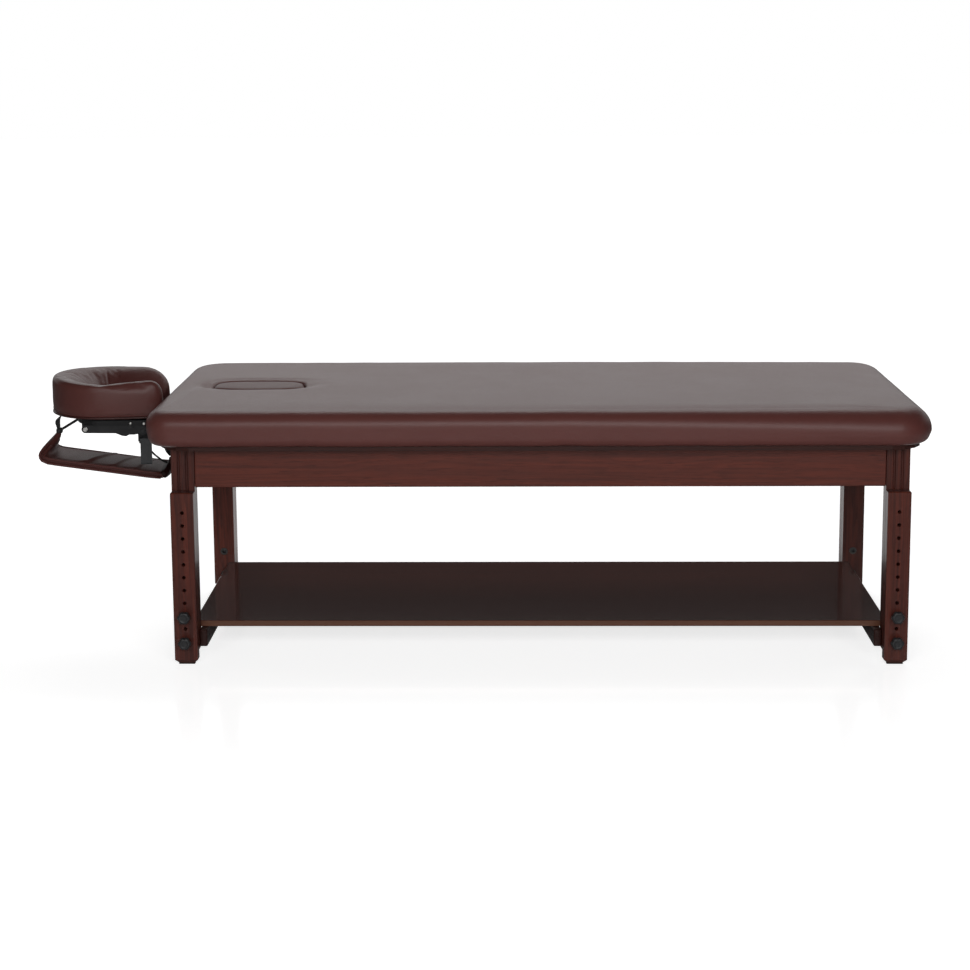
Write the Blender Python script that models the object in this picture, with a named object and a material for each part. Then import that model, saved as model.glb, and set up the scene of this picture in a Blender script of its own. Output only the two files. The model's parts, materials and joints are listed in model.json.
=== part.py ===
"""Massage table with adjustable wooden legs, shelf, face cradle and hanging arm sling.

Metres, +Z up.  The head end with the face cradle points to -X, the long front side to -Y.
The origin is on the floor, below the middle of the overall box.
"""
import math

import bmesh
import bpy
from mathutils import Vector

# Padded top
PAD_LENGTH = 1.848
PAD_WIDTH = 0.762
PAD_TOP_Z = 0.6265
PAD_THICKNESS = 0.0865
PAD_CORNER = 0.092
PAD_EDGE_ROLL = 0.036
PAD_UNDER_ROLL = 0.020
PAD_CROWN = 0.004
FACE_HOLE_LENGTH = 0.232
FACE_HOLE_WIDTH = 0.124
FACE_HOLE_FROM_END = 0.223
FACE_HOLE_SQUARENESS = 3.0
PLUG_CLEARANCE = 0.0015
DECK_THICKNESS = 0.012
DECK_INSET = 0.026
DECK_LEDGE = 0.009

# Frame under the top
APRON_HEIGHT = 0.0994
APRON_THICKNESS = 0.020
APRON_SETBACK = 0.004
CROSS_RAIL_HEIGHT = 0.070
CROSS_RAIL_THICKNESS = 0.022
CROSS_RAIL_SPACING = 0.560

# Legs
END_OVERHANG = 0.0515
SIDE_OVERHANG = 0.054
LEG_WIDTH = 0.055
LOWER_LEG_THICKNESS = 0.0267
UPPER_LEG_THICKNESS = 0.033
LEG_TOP_BELOW_APRON = 0.0065
UPPER_LEG_BOTTOM_Z = 0.031
LEG_FOOT_CHAMFER = 0.008
LEG_TOP_CHAMFER = 0.0022
FOOT_PAD_HEIGHT = 0.004
FLUTE_RADIUS = 0.0034
FLUTE_OFFSET = 0.0095
LEG_HOLE_TOP_MARGIN = 0.040
LEG_HOLE_PITCH = 0.0315
LEG_HOLE_LOWEST_Z = 0.058
UPPER_KNOB_HOLE = 2
LOWER_KNOB_HOLE = 0

# Clamping knobs and tee nuts
STUD_RADIUS = 0.004
STUD_CLEARANCE = 0.0006
KNOB_RADIUS = 0.0155
KNOB_LOBES = 6
KNOB_LOBE_DEPTH = 0.0019
KNOB_HEAD_DEPTH = 0.014
KNOB_COLLAR_RADIUS = 0.0085
KNOB_COLLAR_DEPTH = 0.009
NUT_WALL = 0.0013
NUT_FLANGE_RADIUS = 0.0098
NUT_FLANGE_THICKNESS = 0.0015
NUT_BARREL_DEPTH = 0.018

# Shelf
SHELF_TOP_Z = 0.0915
SHELF_THICKNESS = 0.0145
SHELF_SIDE_GAP = 0.0007
SHELF_END_OVERLAP = 0.016
SHELF_BAR_THICKNESS = 0.018
SHELF_BAR_BOTTOM_Z = 0.0355
SHELF_BAR_END_SETBACK = 0.007

# Face cradle
HEAD_REACH = 0.335
POST_RADIUS = 0.0095
POST_SPACING = 0.160
POST_DROP = 0.0145
POST_DEPTH_IN_FRAME = 0.135
GUIDE_DEPTH = 0.120
GUIDE_WALL = 0.013
BASE_HALF_WIDTH = 0.1015
BASE_FRONT_GAP = 0.026
BASE_DEPTH = 0.040
BASE_WALL = 0.004
POST_SEAT_DEPTH = 0.018
PIVOT_ABOVE_POST = 0.0146
PIVOT_FROM_BASE_EDGE = 0.014
PIVOT_RADIUS = 0.004
PIVOT_CLEARANCE = 0.0004
ARM_REACH = 0.1432
ARM_RISE = 0.004
ARM_THICKNESS = 0.006
ARM_HALF_HEIGHT = 0.0095
PIN_RADIUS = 0.0035
RIVET_HEAD_RADIUS = 0.0062
RIVET_HEAD_THICKNESS = 0.0022
PLATFORM_THICKNESS = 0.0125
PLATFORM_GAP = 0.0024
PLATFORM_HALF_WIDTH = 0.120
PLATFORM_EAR_THICKNESS = 0.006
PLATFORM_TAIL = 0.038
PLATFORM_END_DEPTH = 0.070
STRIP_THICKNESS = 0.0022
STRIP_WIDTH = 0.022
QUADRANT_THICKNESS = 0.004
LEVER_WIDTH = 0.027
LEVER_THICKNESS = 0.008
LEVER_LENGTH = 0.062
LEVER_AXIS_DROP = 0.019
LEVER_STANDOFF = 0.0115
LEVER_OFFSET = 0.009
LEVER_CHEEK = 0.002
LEVER_PIN_RADIUS = 0.0021

# Face cushion
CUSHION_TUBE_HALF = 0.050
CUSHION_RING_RADIUS = 0.095
CUSHION_HEIGHT = 0.0945
CUSHION_STRAIGHT = 0.1364
CUSHION_RING_FROM_PIN = 0.0443
FACE_SLOT_HALF = 0.050

# Hanging arm sling
SLING_HALF_WIDTH = 0.066
SLING_HALF_THICKNESS = 0.010
SLING_HIGH_DROP = 0.0655
SLING_LOW_DROP = 0.1054
SLING_NECK_DROP = 0.0094
SLING_PAD_GAP = 0.0015
SLING_HANG_BACK = 0.006
SLING_NECK_BACK = 0.0363
STRAP_WIDTH = 0.020
STRAP_THICKNESS = 0.0020

# Overrun of drilled holes past the wood
OVERRUN = 0.010
# Small gap between pieces that touch
GAP = 0.0003
# Slightly larger gap where soft pieces meet
SOFT_GAP = 0.0005

# Positions that follow from the sizes
PAD_HEAD_X = HEAD_REACH / 2 - PAD_LENGTH / 2
PAD_FOOT_X = HEAD_REACH / 2 + PAD_LENGTH / 2
TABLE_X = HEAD_REACH / 2
PAD_BOTTOM_Z = PAD_TOP_Z - PAD_THICKNESS
DECK_BOTTOM_Z = PAD_BOTTOM_Z - GAP - DECK_THICKNESS
FRAME_TOP_Z = DECK_BOTTOM_Z - GAP
APRON_BOTTOM_Z = FRAME_TOP_Z - APRON_HEIGHT
LOWER_LEG_TOP_Z = APRON_BOTTOM_Z - LEG_TOP_BELOW_APRON
LEG_HOLE_RUN = LOWER_LEG_TOP_Z - LEG_HOLE_TOP_MARGIN - LEG_HOLE_LOWEST_Z
LEG_HOLE_COUNT = int(LEG_HOLE_RUN / LEG_HOLE_PITCH) + 1
LEG_HALF_SPAN_X = PAD_LENGTH / 2 - END_OVERHANG
LEG_FRONT_Y = PAD_WIDTH / 2 - SIDE_OVERHANG
LOWER_INNER_Y = LEG_FRONT_Y - LOWER_LEG_THICKNESS
UPPER_OUTER_Y = LOWER_INNER_Y - GAP
UPPER_INNER_Y = UPPER_OUTER_Y - UPPER_LEG_THICKNESS
LEG_INNER_X = LEG_HALF_SPAN_X - LEG_WIDTH
APRON_OUTER_Y = UPPER_OUTER_Y - APRON_SETBACK
APRON_INNER_Y = APRON_OUTER_Y - APRON_THICKNESS
RAIL_OUTER_X = LEG_HALF_SPAN_X - APRON_SETBACK
RAIL_INNER_X = RAIL_OUTER_X - APRON_THICKNESS
HOLE_X = PAD_HEAD_X + FACE_HOLE_FROM_END
STUD_HOLE_RADIUS = STUD_RADIUS + STUD_CLEARANCE
NUT_BORE_RADIUS = STUD_RADIUS + STUD_CLEARANCE
NUT_BARREL_RADIUS = NUT_BORE_RADIUS + NUT_WALL
POST_Z = FRAME_TOP_Z - POST_DROP
BASE_BOTTOM_Z = POST_Z - POST_RADIUS - BASE_WALL
PIVOT_Z = POST_Z + PIVOT_ABOVE_POST
LEVER_AXIS_Z = PIVOT_Z - LEVER_AXIS_DROP
SLING_HIGH_Z = POST_Z - SLING_HIGH_DROP
SLING_LOW_Z = POST_Z - SLING_LOW_DROP
SLING_NECK_Z = POST_Z - SLING_NECK_DROP
BASE_FAR_X = PAD_HEAD_X - BASE_FRONT_GAP - BASE_DEPTH
BASE_NEAR_X = PAD_HEAD_X - BASE_FRONT_GAP
PIVOT_X = BASE_FAR_X + PIVOT_FROM_BASE_EDGE
PIN_X = PIVOT_X - ARM_REACH
PIN_Z = PIVOT_Z + ARM_RISE
ARM_INNER_Y = BASE_HALF_WIDTH + GAP
ARM_OUTER_Y = ARM_INNER_Y + ARM_THICKNESS
PLATFORM_BOTTOM_Z = PIN_Z + ARM_HALF_HEIGHT + PLATFORM_GAP
PLATFORM_TOP_Z = PLATFORM_BOTTOM_Z + PLATFORM_THICKNESS
CUSHION_BOTTOM_Z = PLATFORM_TOP_Z + GAP + STRIP_THICKNESS + SOFT_GAP
CUSHION_RING_X = PIN_X + CUSHION_RING_FROM_PIN
POST_Y = POST_SPACING / 2
HEAD_RAIL_OUTER_X = TABLE_X - RAIL_OUTER_X
HEAD_RAIL_INNER_X = TABLE_X - RAIL_INNER_X
PIVOT_ORIGIN = (PIVOT_X, 0.0, PIVOT_Z)
PIN_ORIGIN = (PIN_X, 0.0, PIN_Z)

# Colour, roughness and metal value of each material
FINISHES = {
    "brown_vinyl": ((0.095, 0.045, 0.040), 0.42, 0.0),
    "stained_wood": ((0.070, 0.022, 0.016), 0.35, 0.0),
    "plywood_shelf": ((0.040, 0.020, 0.016), 0.25, 0.0),
    "deck_board": ((0.320, 0.220, 0.130), 0.70, 0.0),
    "black_plastic": ((0.012, 0.012, 0.013), 0.40, 0.0),
    "black_steel": ((0.015, 0.015, 0.016), 0.35, 0.6),
    "zinc_steel": ((0.550, 0.550, 0.540), 0.35, 1.0),
    "grey_lever": ((0.035, 0.036, 0.038), 0.50, 0.3),
    "rubber": ((0.015, 0.014, 0.013), 0.80, 0.0),
    "webbing": ((0.010, 0.009, 0.009), 0.85, 0.0),
}


def clear_scene():
    for old in list(bpy.data.objects):
        bpy.data.objects.remove(old, do_unlink=True)


def finish_material(name, key):
    colour, rough, metal = FINISHES[key]
    mat = bpy.data.materials.new(name + "_material")
    mat.use_nodes = True
    shader = mat.node_tree.nodes["Principled BSDF"]
    shader.inputs["Base Color"].default_value = (*colour, 1.0)
    shader.inputs["Roughness"].default_value = rough
    shader.inputs["Metallic"].default_value = metal
    return mat


def make_object(name, verts, faces, finish, origin=(0.0, 0.0, 0.0)):
    """Makes one object from world points, with its origin at the given point."""
    mesh = bpy.data.meshes.new(name)
    shift = Vector(origin)
    mesh.from_pydata([Vector(v) - shift for v in verts], [], faces)
    bm = bmesh.new()
    bm.from_mesh(mesh)
    bmesh.ops.recalc_face_normals(bm, faces=bm.faces)
    bm.to_mesh(mesh)
    bm.free()
    obj = bpy.data.objects.new(name, mesh)
    obj.location = shift
    bpy.context.scene.collection.objects.link(obj)
    if finish:
        mesh.materials.append(finish_material(name, finish))
    return obj


def skin_rings(rings, closed_loop=False):
    """Faces over rings of equal length, with end caps unless the rings form a loop."""
    count = len(rings[0])
    verts = [p for ring in rings for p in ring]
    faces = []
    spans = len(rings) if closed_loop else len(rings) - 1
    for i in range(spans):
        low = i * count
        high = ((i + 1) % len(rings)) * count
        for j in range(count):
            k = (j + 1) % count
            faces.append((low + j, low + k, high + k, high + j))
    if not closed_loop:
        last = (len(rings) - 1) * count
        faces.append(tuple(range(count - 1, -1, -1)))
        faces.append(tuple(range(last, last + count)))
    return verts, faces


def ring_solid(name, rings, finish, origin=(0.0, 0.0, 0.0), closed_loop=False):
    verts, faces = skin_rings(rings, closed_loop)
    return make_object(name, verts, faces, finish, origin)


def rounded_rectangle(x0, x1, y0, y1, radius, steps):
    """Points of a rectangle with round corners, counter-clockwise."""
    points = []
    corners = ((x1 - radius, y0 + radius, -90), (x1 - radius, y1 - radius, 0),
               (x0 + radius, y1 - radius, 90), (x0 + radius, y0 + radius, 180))
    for cx, cy, start in corners:
        for i in range(steps + 1):
            turn = math.radians(start + 90 * i / steps)
            points.append((cx + radius * math.cos(turn), cy + radius * math.sin(turn)))
    return points


def block(name, x_range, y_range, z_range, finish, ease=0.0015, origin=(0.0, 0.0, 0.0)):
    """A board with slightly eased edges all round."""
    x0, x1 = sorted(x_range)
    y0, y1 = sorted(y_range)
    z0, z1 = sorted(z_range)
    rings = []
    for z, inset in ((z0, ease), (z0 + ease, 0.0), (z1 - ease, 0.0), (z1, ease)):
        outline = rounded_rectangle(x0 + inset, x1 - inset, y0 + inset, y1 - inset, ease, 1)
        rings.append([(x, y, z) for x, y in outline])
    return ring_solid(name, rings, finish, origin)


def round_ring(centre, axis, radius, count, lobes=0, lobe_depth=0.0):
    """Circle points about a centre, in the plane across the X, Y or Z axis."""
    ring = []
    for i in range(count):
        turn = 2 * math.pi * (i + 0.5) / count
        r = radius
        if lobes:
            r = radius - lobe_depth * (1 - math.cos(lobes * turn)) / 2
        a, b = r * math.cos(turn), r * math.sin(turn)
        cx, cy, cz = centre
        if axis == "X":
            ring.append((cx, cy + a, cz + b))
        elif axis == "Y":
            ring.append((cx + a, cy, cz + b))
        else:
            ring.append((cx + a, cy + b, cz))
    return ring


def along(centre, axis, distance):
    cx, cy, cz = centre
    if axis == "X":
        return (cx + distance, cy, cz)
    if axis == "Y":
        return (cx, cy + distance, cz)
    return (cx, cy, cz + distance)


def turned(name, start, axis, profile, finish, count=20, origin=None, closed_loop=False):
    """A turned piece: profile holds (distance along axis, radius) pairs."""
    rings = [round_ring(along(start, axis, d), axis, r, count) for d, r in profile]
    return ring_solid(name, rings, finish, origin or start, closed_loop)


def plate(name, outline, y_range, finish, origin=(0.0, 0.0, 0.0)):
    """A flat plate: an XZ outline pushed through along Y."""
    rings = [[(x, y, z) for x, z in outline] for y in sorted(y_range)]
    return ring_solid(name, rings, finish, origin)


def cutter(name, verts, faces):
    tool = make_object(name, verts, faces, None)
    tool.hide_render = True
    tool.display_type = "WIRE"
    return tool


def drill(target, name, bores, axis, count=16):
    """Cuts round bores; each is (start point, length, radius)."""
    verts, faces = [], []
    for start, length, radius in bores:
        rings = [round_ring(along(start, axis, d), axis, radius, count) for d in (0.0, length)]
        ring_verts, ring_faces = skin_rings(rings)
        base = len(verts)
        verts += ring_verts
        faces += [tuple(i + base for i in face) for face in ring_faces]
    tool = cutter(name, verts, faces)
    combine(target, tool, "DIFFERENCE")


def combine(target, tool, operation):
    mod = target.modifiers.new(tool.name, "BOOLEAN")
    mod.object = tool
    mod.operation = operation
    mod.solver = "EXACT"


def face_hole_outline(extra, count):
    """Squarish oval of the face hole; its long way is along the table."""
    a = FACE_HOLE_LENGTH / 2 + extra
    b = FACE_HOLE_WIDTH / 2 + extra
    power = 2 / FACE_HOLE_SQUARENESS
    points = []
    for i in range(count):
        turn = 2 * math.pi * i / count
        c, s = math.cos(turn), math.sin(turn)
        points.append((HOLE_X + a * math.copysign(abs(c) ** power, c),
                       b * math.copysign(abs(s) ** power, s)))
    return points


def table_outline(inset, radius, corner_steps, long_steps, end_steps):
    """Rounded outline of the table top, from the middle of the foot end, counter-clockwise."""
    x0, x1 = PAD_HEAD_X + inset, PAD_FOOT_X - inset
    half = PAD_WIDTH / 2 - inset
    points = [(x1, (half - radius) * i / end_steps) for i in range(end_steps)]
    for i in range(corner_steps + 1):
        turn = math.radians(90 * i / corner_steps)
        points.append((x1 - radius + radius * math.cos(turn), half - radius + radius * math.sin(turn)))
    run = x1 - x0 - 2 * radius
    points += [(x1 - radius - run * i / long_steps, half) for i in range(1, long_steps)]
    for i in range(corner_steps + 1):
        turn = math.radians(90 + 90 * i / corner_steps)
        points.append((x0 + radius + radius * math.cos(turn), half - radius + radius * math.sin(turn)))
    points += [(x0, (half - radius) * (1 - i / end_steps)) for i in range(1, end_steps + 1)]
    mirrored = [(x, -y) for x, y in points[-2:0:-1]]
    return points + mirrored


def pad_ring(inset, z):
    outline = table_outline(inset, max(PAD_CORNER - inset, 0.012), 6, 16, 3)
    return [(x, y, z) for x, y in outline]


def between(ring_a, ring_b, part, z):
    return [(p[0] + (q[0] - p[0]) * part, p[1] + (q[1] - p[1]) * part, z)
            for p, q in zip(ring_a, ring_b)]


def build_top():
    height = PAD_TOP_Z - PAD_BOTTOM_Z
    roll = PAD_EDGE_ROLL
    under = PAD_UNDER_ROLL
    side_top = PAD_TOP_Z - PAD_CROWN - roll * 0.92
    rings = []
    # Underside roll, bulged side and top roll
    rings.append(pad_ring(DECK_INSET * 0.4, PAD_BOTTOM_Z))
    rings.append(pad_ring(under * 0.18, PAD_BOTTOM_Z + under * 0.42))
    rings.append(pad_ring(0.0015, PAD_BOTTOM_Z + under))
    rings.append(pad_ring(0.0, PAD_BOTTOM_Z + height * 0.42))
    for turn in (0, 25, 48, 70, 90):
        inset = roll * (1 - math.cos(math.radians(turn)))
        z = side_top + roll * 0.92 * math.sin(math.radians(turn))
        rings.append(pad_ring(inset, z))
    # Crowned top, drawn down around the face hole
    edge = pad_ring(roll, 0.0)
    hole = [(x, y, 0.0) for x, y in face_hole_outline(0.0, len(edge))]
    for part, drop in ((0.30, 0.3), (0.70, 0.0), (0.95, 0.15)):
        rings.append(between(edge, hole, part, PAD_TOP_Z - PAD_CROWN * drop))
    rings.append(between(edge, hole, 1.0, PAD_TOP_Z - PAD_CROWN * 1.6))
    rings.append([(x, y, PAD_BOTTOM_Z) for x, y, z in hole])
    ring_solid("top_cushion", rings, "brown_vinyl", closed_loop=True)
    # Deck with a smaller opening that carries the plug
    outline = table_outline(DECK_INSET, PAD_CORNER - DECK_INSET * 0.5, 4, 10, 3)
    opening = face_hole_outline(-DECK_LEDGE, len(outline))
    top = DECK_BOTTOM_Z + DECK_THICKNESS
    rings = [[(x, y, DECK_BOTTOM_Z) for x, y in outline], [(x, y, top) for x, y in outline],
             [(x, y, top) for x, y in opening], [(x, y, DECK_BOTTOM_Z) for x, y in opening]]
    ring_solid("top_deck", rings, "deck_board", closed_loop=True)
    # Plug that lifts out of the face hole
    top = PAD_TOP_Z - PAD_CROWN * 0.6
    rings = []
    for inset, z in ((0.004, PAD_BOTTOM_Z + SOFT_GAP), (0.0, PAD_BOTTOM_Z + 0.006),
                     (0.0, top - 0.014), (0.003, top - 0.006), (0.010, top - 0.0015),
                     (0.022, top)):
        outline = face_hole_outline(-PLUG_CLEARANCE - inset, 40)
        rings.append([(x, y, z) for x, y in outline])
    ring_solid("face_hole_plug", rings, "brown_vinyl", origin=(HOLE_X, 0.0, PAD_BOTTOM_Z))


def build_frame():
    x0 = TABLE_X - LEG_INNER_X + GAP
    x1 = TABLE_X + LEG_INNER_X - GAP
    z_range = (APRON_BOTTOM_Z, FRAME_TOP_Z)
    block("front_apron", (x0, x1), (-APRON_OUTER_Y, -APRON_INNER_Y), z_range, "stained_wood")
    block("rear_apron", (x0, x1), (APRON_INNER_Y, APRON_OUTER_Y), z_range, "stained_wood")
    rail_y = UPPER_INNER_Y - GAP
    head = block("head_rail", (HEAD_RAIL_OUTER_X, HEAD_RAIL_INNER_X), (-rail_y, rail_y),
                 z_range, "stained_wood")
    block("foot_rail", (TABLE_X + RAIL_INNER_X, TABLE_X + RAIL_OUTER_X), (-rail_y, rail_y),
          z_range, "stained_wood")
    # Post sockets through the head rail and the guide block behind it
    bore = POST_RADIUS + GAP
    starts = [(HEAD_RAIL_OUTER_X - OVERRUN, s * POST_Y, POST_Z) for s in (-1, 1)]
    depth = APRON_THICKNESS + 2 * OVERRUN
    drill(head, "head_rail_bores", [(p, depth, bore) for p in starts], "X", 24)
    guide_x = HEAD_RAIL_INNER_X + GAP
    guide_y = POST_Y + POST_RADIUS + GUIDE_WALL
    guide = block("post_guide_block", (guide_x, guide_x + GUIDE_DEPTH), (-guide_y, guide_y),
                  (POST_Z - POST_RADIUS - GUIDE_WALL, FRAME_TOP_Z), "deck_board")
    starts = [(guide_x - OVERRUN, s * POST_Y, POST_Z) for s in (-1, 1)]
    depth = GUIDE_DEPTH + 2 * OVERRUN
    drill(guide, "guide_bores", [(p, depth, bore) for p in starts], "X", 24)
    # Cross rails under the deck
    rail_y = APRON_INNER_Y - GAP
    for label, side in (("head", -1), ("foot", 1)):
        middle = TABLE_X + side * CROSS_RAIL_SPACING / 2
        block("cross_rail_" + label,
              (middle - CROSS_RAIL_THICKNESS / 2, middle + CROSS_RAIL_THICKNESS / 2),
              (-rail_y, rail_y), (FRAME_TOP_Z - CROSS_RAIL_HEIGHT, FRAME_TOP_Z), "deck_board")


def fluted_outline(x0, x1, outer_y, inner_y, side):
    """Plan of an upper leg with two half-round flutes down its outer face."""
    middle = (x0 + x1) / 2
    points = [(x0, inner_y), (x0, outer_y)]
    for offset in (-FLUTE_OFFSET, FLUTE_OFFSET):
        for i in range(7):
            turn = math.pi * (1 - i / 6)
            points.append((middle + offset + FLUTE_RADIUS * math.cos(turn),
                           outer_y - side * FLUTE_RADIUS * math.sin(turn)))
    points += [(x1, outer_y), (x1, inner_y)]
    return points


def knob_heights():
    return [("upper", LEG_HOLE_LOWEST_Z + UPPER_KNOB_HOLE * LEG_HOLE_PITCH),
            ("lower", LEG_HOLE_LOWEST_Z + LOWER_KNOB_HOLE * LEG_HOLE_PITCH)]


def build_leg(label, end, side):
    """One leg: end is -1 at the head, side is -1 at the front."""
    xs = sorted((TABLE_X + end * LEG_HALF_SPAN_X, TABLE_X + end * LEG_INNER_X))
    middle = sum(xs) / 2
    # Upper leg fixed to the frame
    outline = fluted_outline(xs[0], xs[1], side * UPPER_OUTER_Y, side * UPPER_INNER_Y, side)
    rings = [[(x, y, z) for x, y in outline] for z in (UPPER_LEG_BOTTOM_Z, FRAME_TOP_Z)]
    upper = ring_solid("upper_leg_" + label, rings, "stained_wood")
    bore = NUT_BARREL_RADIUS + GAP
    start_y = side * (UPPER_INNER_Y - OVERRUN)
    length = side * (UPPER_LEG_THICKNESS + 2 * OVERRUN)
    bores = [((middle, start_y, z), length, bore) for _, z in knob_heights()]
    drill(upper, "upper_leg_bores_" + label, bores, "Y", 18)
    # Lower leg with its row of height holes
    ys = sorted((side * LEG_FRONT_Y, side * LOWER_INNER_Y))
    bottom = FOOT_PAD_HEIGHT + GAP
    rings = []
    for z, inset in ((bottom, LEG_FOOT_CHAMFER), (bottom + LEG_FOOT_CHAMFER, 0.0),
                     (LOWER_LEG_TOP_Z - LEG_TOP_CHAMFER, 0.0),
                     (LOWER_LEG_TOP_Z, LEG_TOP_CHAMFER)):
        plan = rounded_rectangle(xs[0] + inset, xs[1] - inset, ys[0] + inset, ys[1] - inset,
                                 0.0018, 2)
        rings.append([(x, y, z) for x, y in plan])
    lower = ring_solid("lower_leg_" + label, rings, "stained_wood")
    bores = []
    for i in range(LEG_HOLE_COUNT):
        z = LEG_HOLE_LOWEST_Z + i * LEG_HOLE_PITCH
        start = (middle, ys[0] - OVERRUN, z)
        bores.append((start, LOWER_LEG_THICKNESS + 2 * OVERRUN, STUD_HOLE_RADIUS))
    drill(lower, "lower_leg_bores_" + label, bores, "Y", 18)
    # Rubber foot under the lower leg
    inset = LEG_FOOT_CHAMFER
    block("foot_pad_" + label, (xs[0] + inset, xs[1] - inset), (ys[0] + inset, ys[1] - inset),
          (0.0, FOOT_PAD_HEIGHT), "rubber", 0.001)
    for row, z in knob_heights():
        build_knob(row + "_" + label, middle, side, z)


def build_knob(label, x, side, z):
    """Lobed knob with its stud, and the tee nut that it screws into."""
    face = side * (LEG_FRONT_Y + GAP)
    tip = side * (UPPER_INNER_Y + 0.001)
    plain = ((tip, STUD_RADIUS * 0.8), (tip + side * 0.001, STUD_RADIUS), (face, STUD_RADIUS),
             (face, KNOB_COLLAR_RADIUS), (face + side * KNOB_COLLAR_DEPTH, KNOB_COLLAR_RADIUS))
    count = 36
    rings = [round_ring((x, y, z), "Y", r, count) for y, r in plain]
    back = face + side * KNOB_COLLAR_DEPTH
    for part, scale in ((0.0, 0.90), (0.18, 1.0), (0.70, 1.0), (0.90, 0.93), (1.0, 0.78)):
        y = back + side * (part * KNOB_HEAD_DEPTH)
        rings.append(round_ring((x, y, z), "Y", KNOB_RADIUS * scale, count, KNOB_LOBES,
                                KNOB_LOBE_DEPTH * scale))
    ring_solid("knob_" + label, rings, "black_plastic", origin=(x, face, z))
    inner = side * (UPPER_INNER_Y - GAP)
    flange = side * (UPPER_INNER_Y - GAP - NUT_FLANGE_THICKNESS)
    end = side * (UPPER_INNER_Y - GAP + NUT_BARREL_DEPTH)
    profile = ((flange, NUT_BORE_RADIUS), (flange, NUT_FLANGE_RADIUS),
               (inner, NUT_FLANGE_RADIUS), (inner, NUT_BARREL_RADIUS),
               (end, NUT_BARREL_RADIUS), (end, NUT_BORE_RADIUS))
    turned("tee_nut_" + label, (x, 0.0, z), "Y", profile, "zinc_steel", 18, closed_loop=True)


def build_shelf():
    half_x = LEG_INNER_X + SHELF_END_OVERLAP
    half_y = UPPER_INNER_Y - SHELF_SIDE_GAP
    bottom = SHELF_TOP_Z - SHELF_THICKNESS
    block("shelf_board", (TABLE_X - half_x, TABLE_X + half_x), (-half_y, half_y),
          (bottom, SHELF_TOP_Z), "plywood_shelf", 0.0012)
    bar_y = UPPER_OUTER_Y - SHELF_BAR_END_SETBACK
    outer = LEG_INNER_X - GAP
    for label, end in (("head", -1), ("foot", 1)):
        block("shelf_bar_" + label,
              (TABLE_X + end * outer, TABLE_X + end * (outer - SHELF_BAR_THICKNESS)),
              (-bar_y, bar_y), (SHELF_BAR_BOTTOM_Z, bottom - GAP), "stained_wood")


def build_cradle_base():
    """Posts, base block, pivot rod and lever bracket."""
    outline = [(BASE_FAR_X, BASE_BOTTOM_Z), (BASE_NEAR_X, BASE_BOTTOM_Z),
               (BASE_NEAR_X, PLATFORM_BOTTOM_Z - GAP),
               (PIVOT_X + 0.008, PLATFORM_BOTTOM_Z - GAP),
               (PIVOT_X + 0.004, PIVOT_Z + 0.012), (PIVOT_X - 0.006, PIVOT_Z + 0.011),
               (BASE_FAR_X, PIVOT_Z + 0.003)]
    base = plate("cradle_base", outline, (-BASE_HALF_WIDTH, BASE_HALF_WIDTH), "black_plastic")
    bore = PIVOT_RADIUS + PIVOT_CLEARANCE
    start = (PIVOT_X, -BASE_HALF_WIDTH - OVERRUN, PIVOT_Z)
    length = 2 * (BASE_HALF_WIDTH + OVERRUN)
    drill(base, "cradle_base_pivot_bore", [(start, length, bore)], "Y", 20)
    # The posts sit in blind bores of the base
    seat = BASE_NEAR_X - POST_SEAT_DEPTH
    starts = [(seat, s * POST_Y, POST_Z) for s in (-1, 1)]
    depth = POST_SEAT_DEPTH + OVERRUN
    drill(base, "cradle_base_post_bores", [(p, depth, POST_RADIUS + GAP) for p in starts], "X", 24)
    end = HEAD_RAIL_OUTER_X + POST_DEPTH_IN_FRAME
    for label, s in (("front", -1), ("rear", 1)):
        length = end - seat - GAP
        profile = ((0.0, POST_RADIUS), (length - 0.003, POST_RADIUS), (length, POST_RADIUS - 0.003))
        turned("cradle_post_" + label, (seat + GAP, s * POST_Y, POST_Z), "X", profile,
               "black_steel", 24)
    half = ARM_OUTER_Y + GAP
    head = RIVET_HEAD_THICKNESS
    profile = ((-half - head, RIVET_HEAD_RADIUS * 0.7), (-half - head * 0.5, RIVET_HEAD_RADIUS),
               (-half, RIVET_HEAD_RADIUS), (-half, PIVOT_RADIUS), (half, PIVOT_RADIUS),
               (half, RIVET_HEAD_RADIUS), (half + head * 0.5, RIVET_HEAD_RADIUS),
               (half + head, RIVET_HEAD_RADIUS * 0.7))
    turned("cradle_pivot_rod", PIVOT_ORIGIN, "Y", profile, "zinc_steel", 20)


def lever_positions():
    """Middle of the lever along X, and its axis across Y."""
    x = PIVOT_X + LEVER_OFFSET
    y = -(ARM_OUTER_Y + LEVER_STANDOFF)
    return x, y


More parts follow.
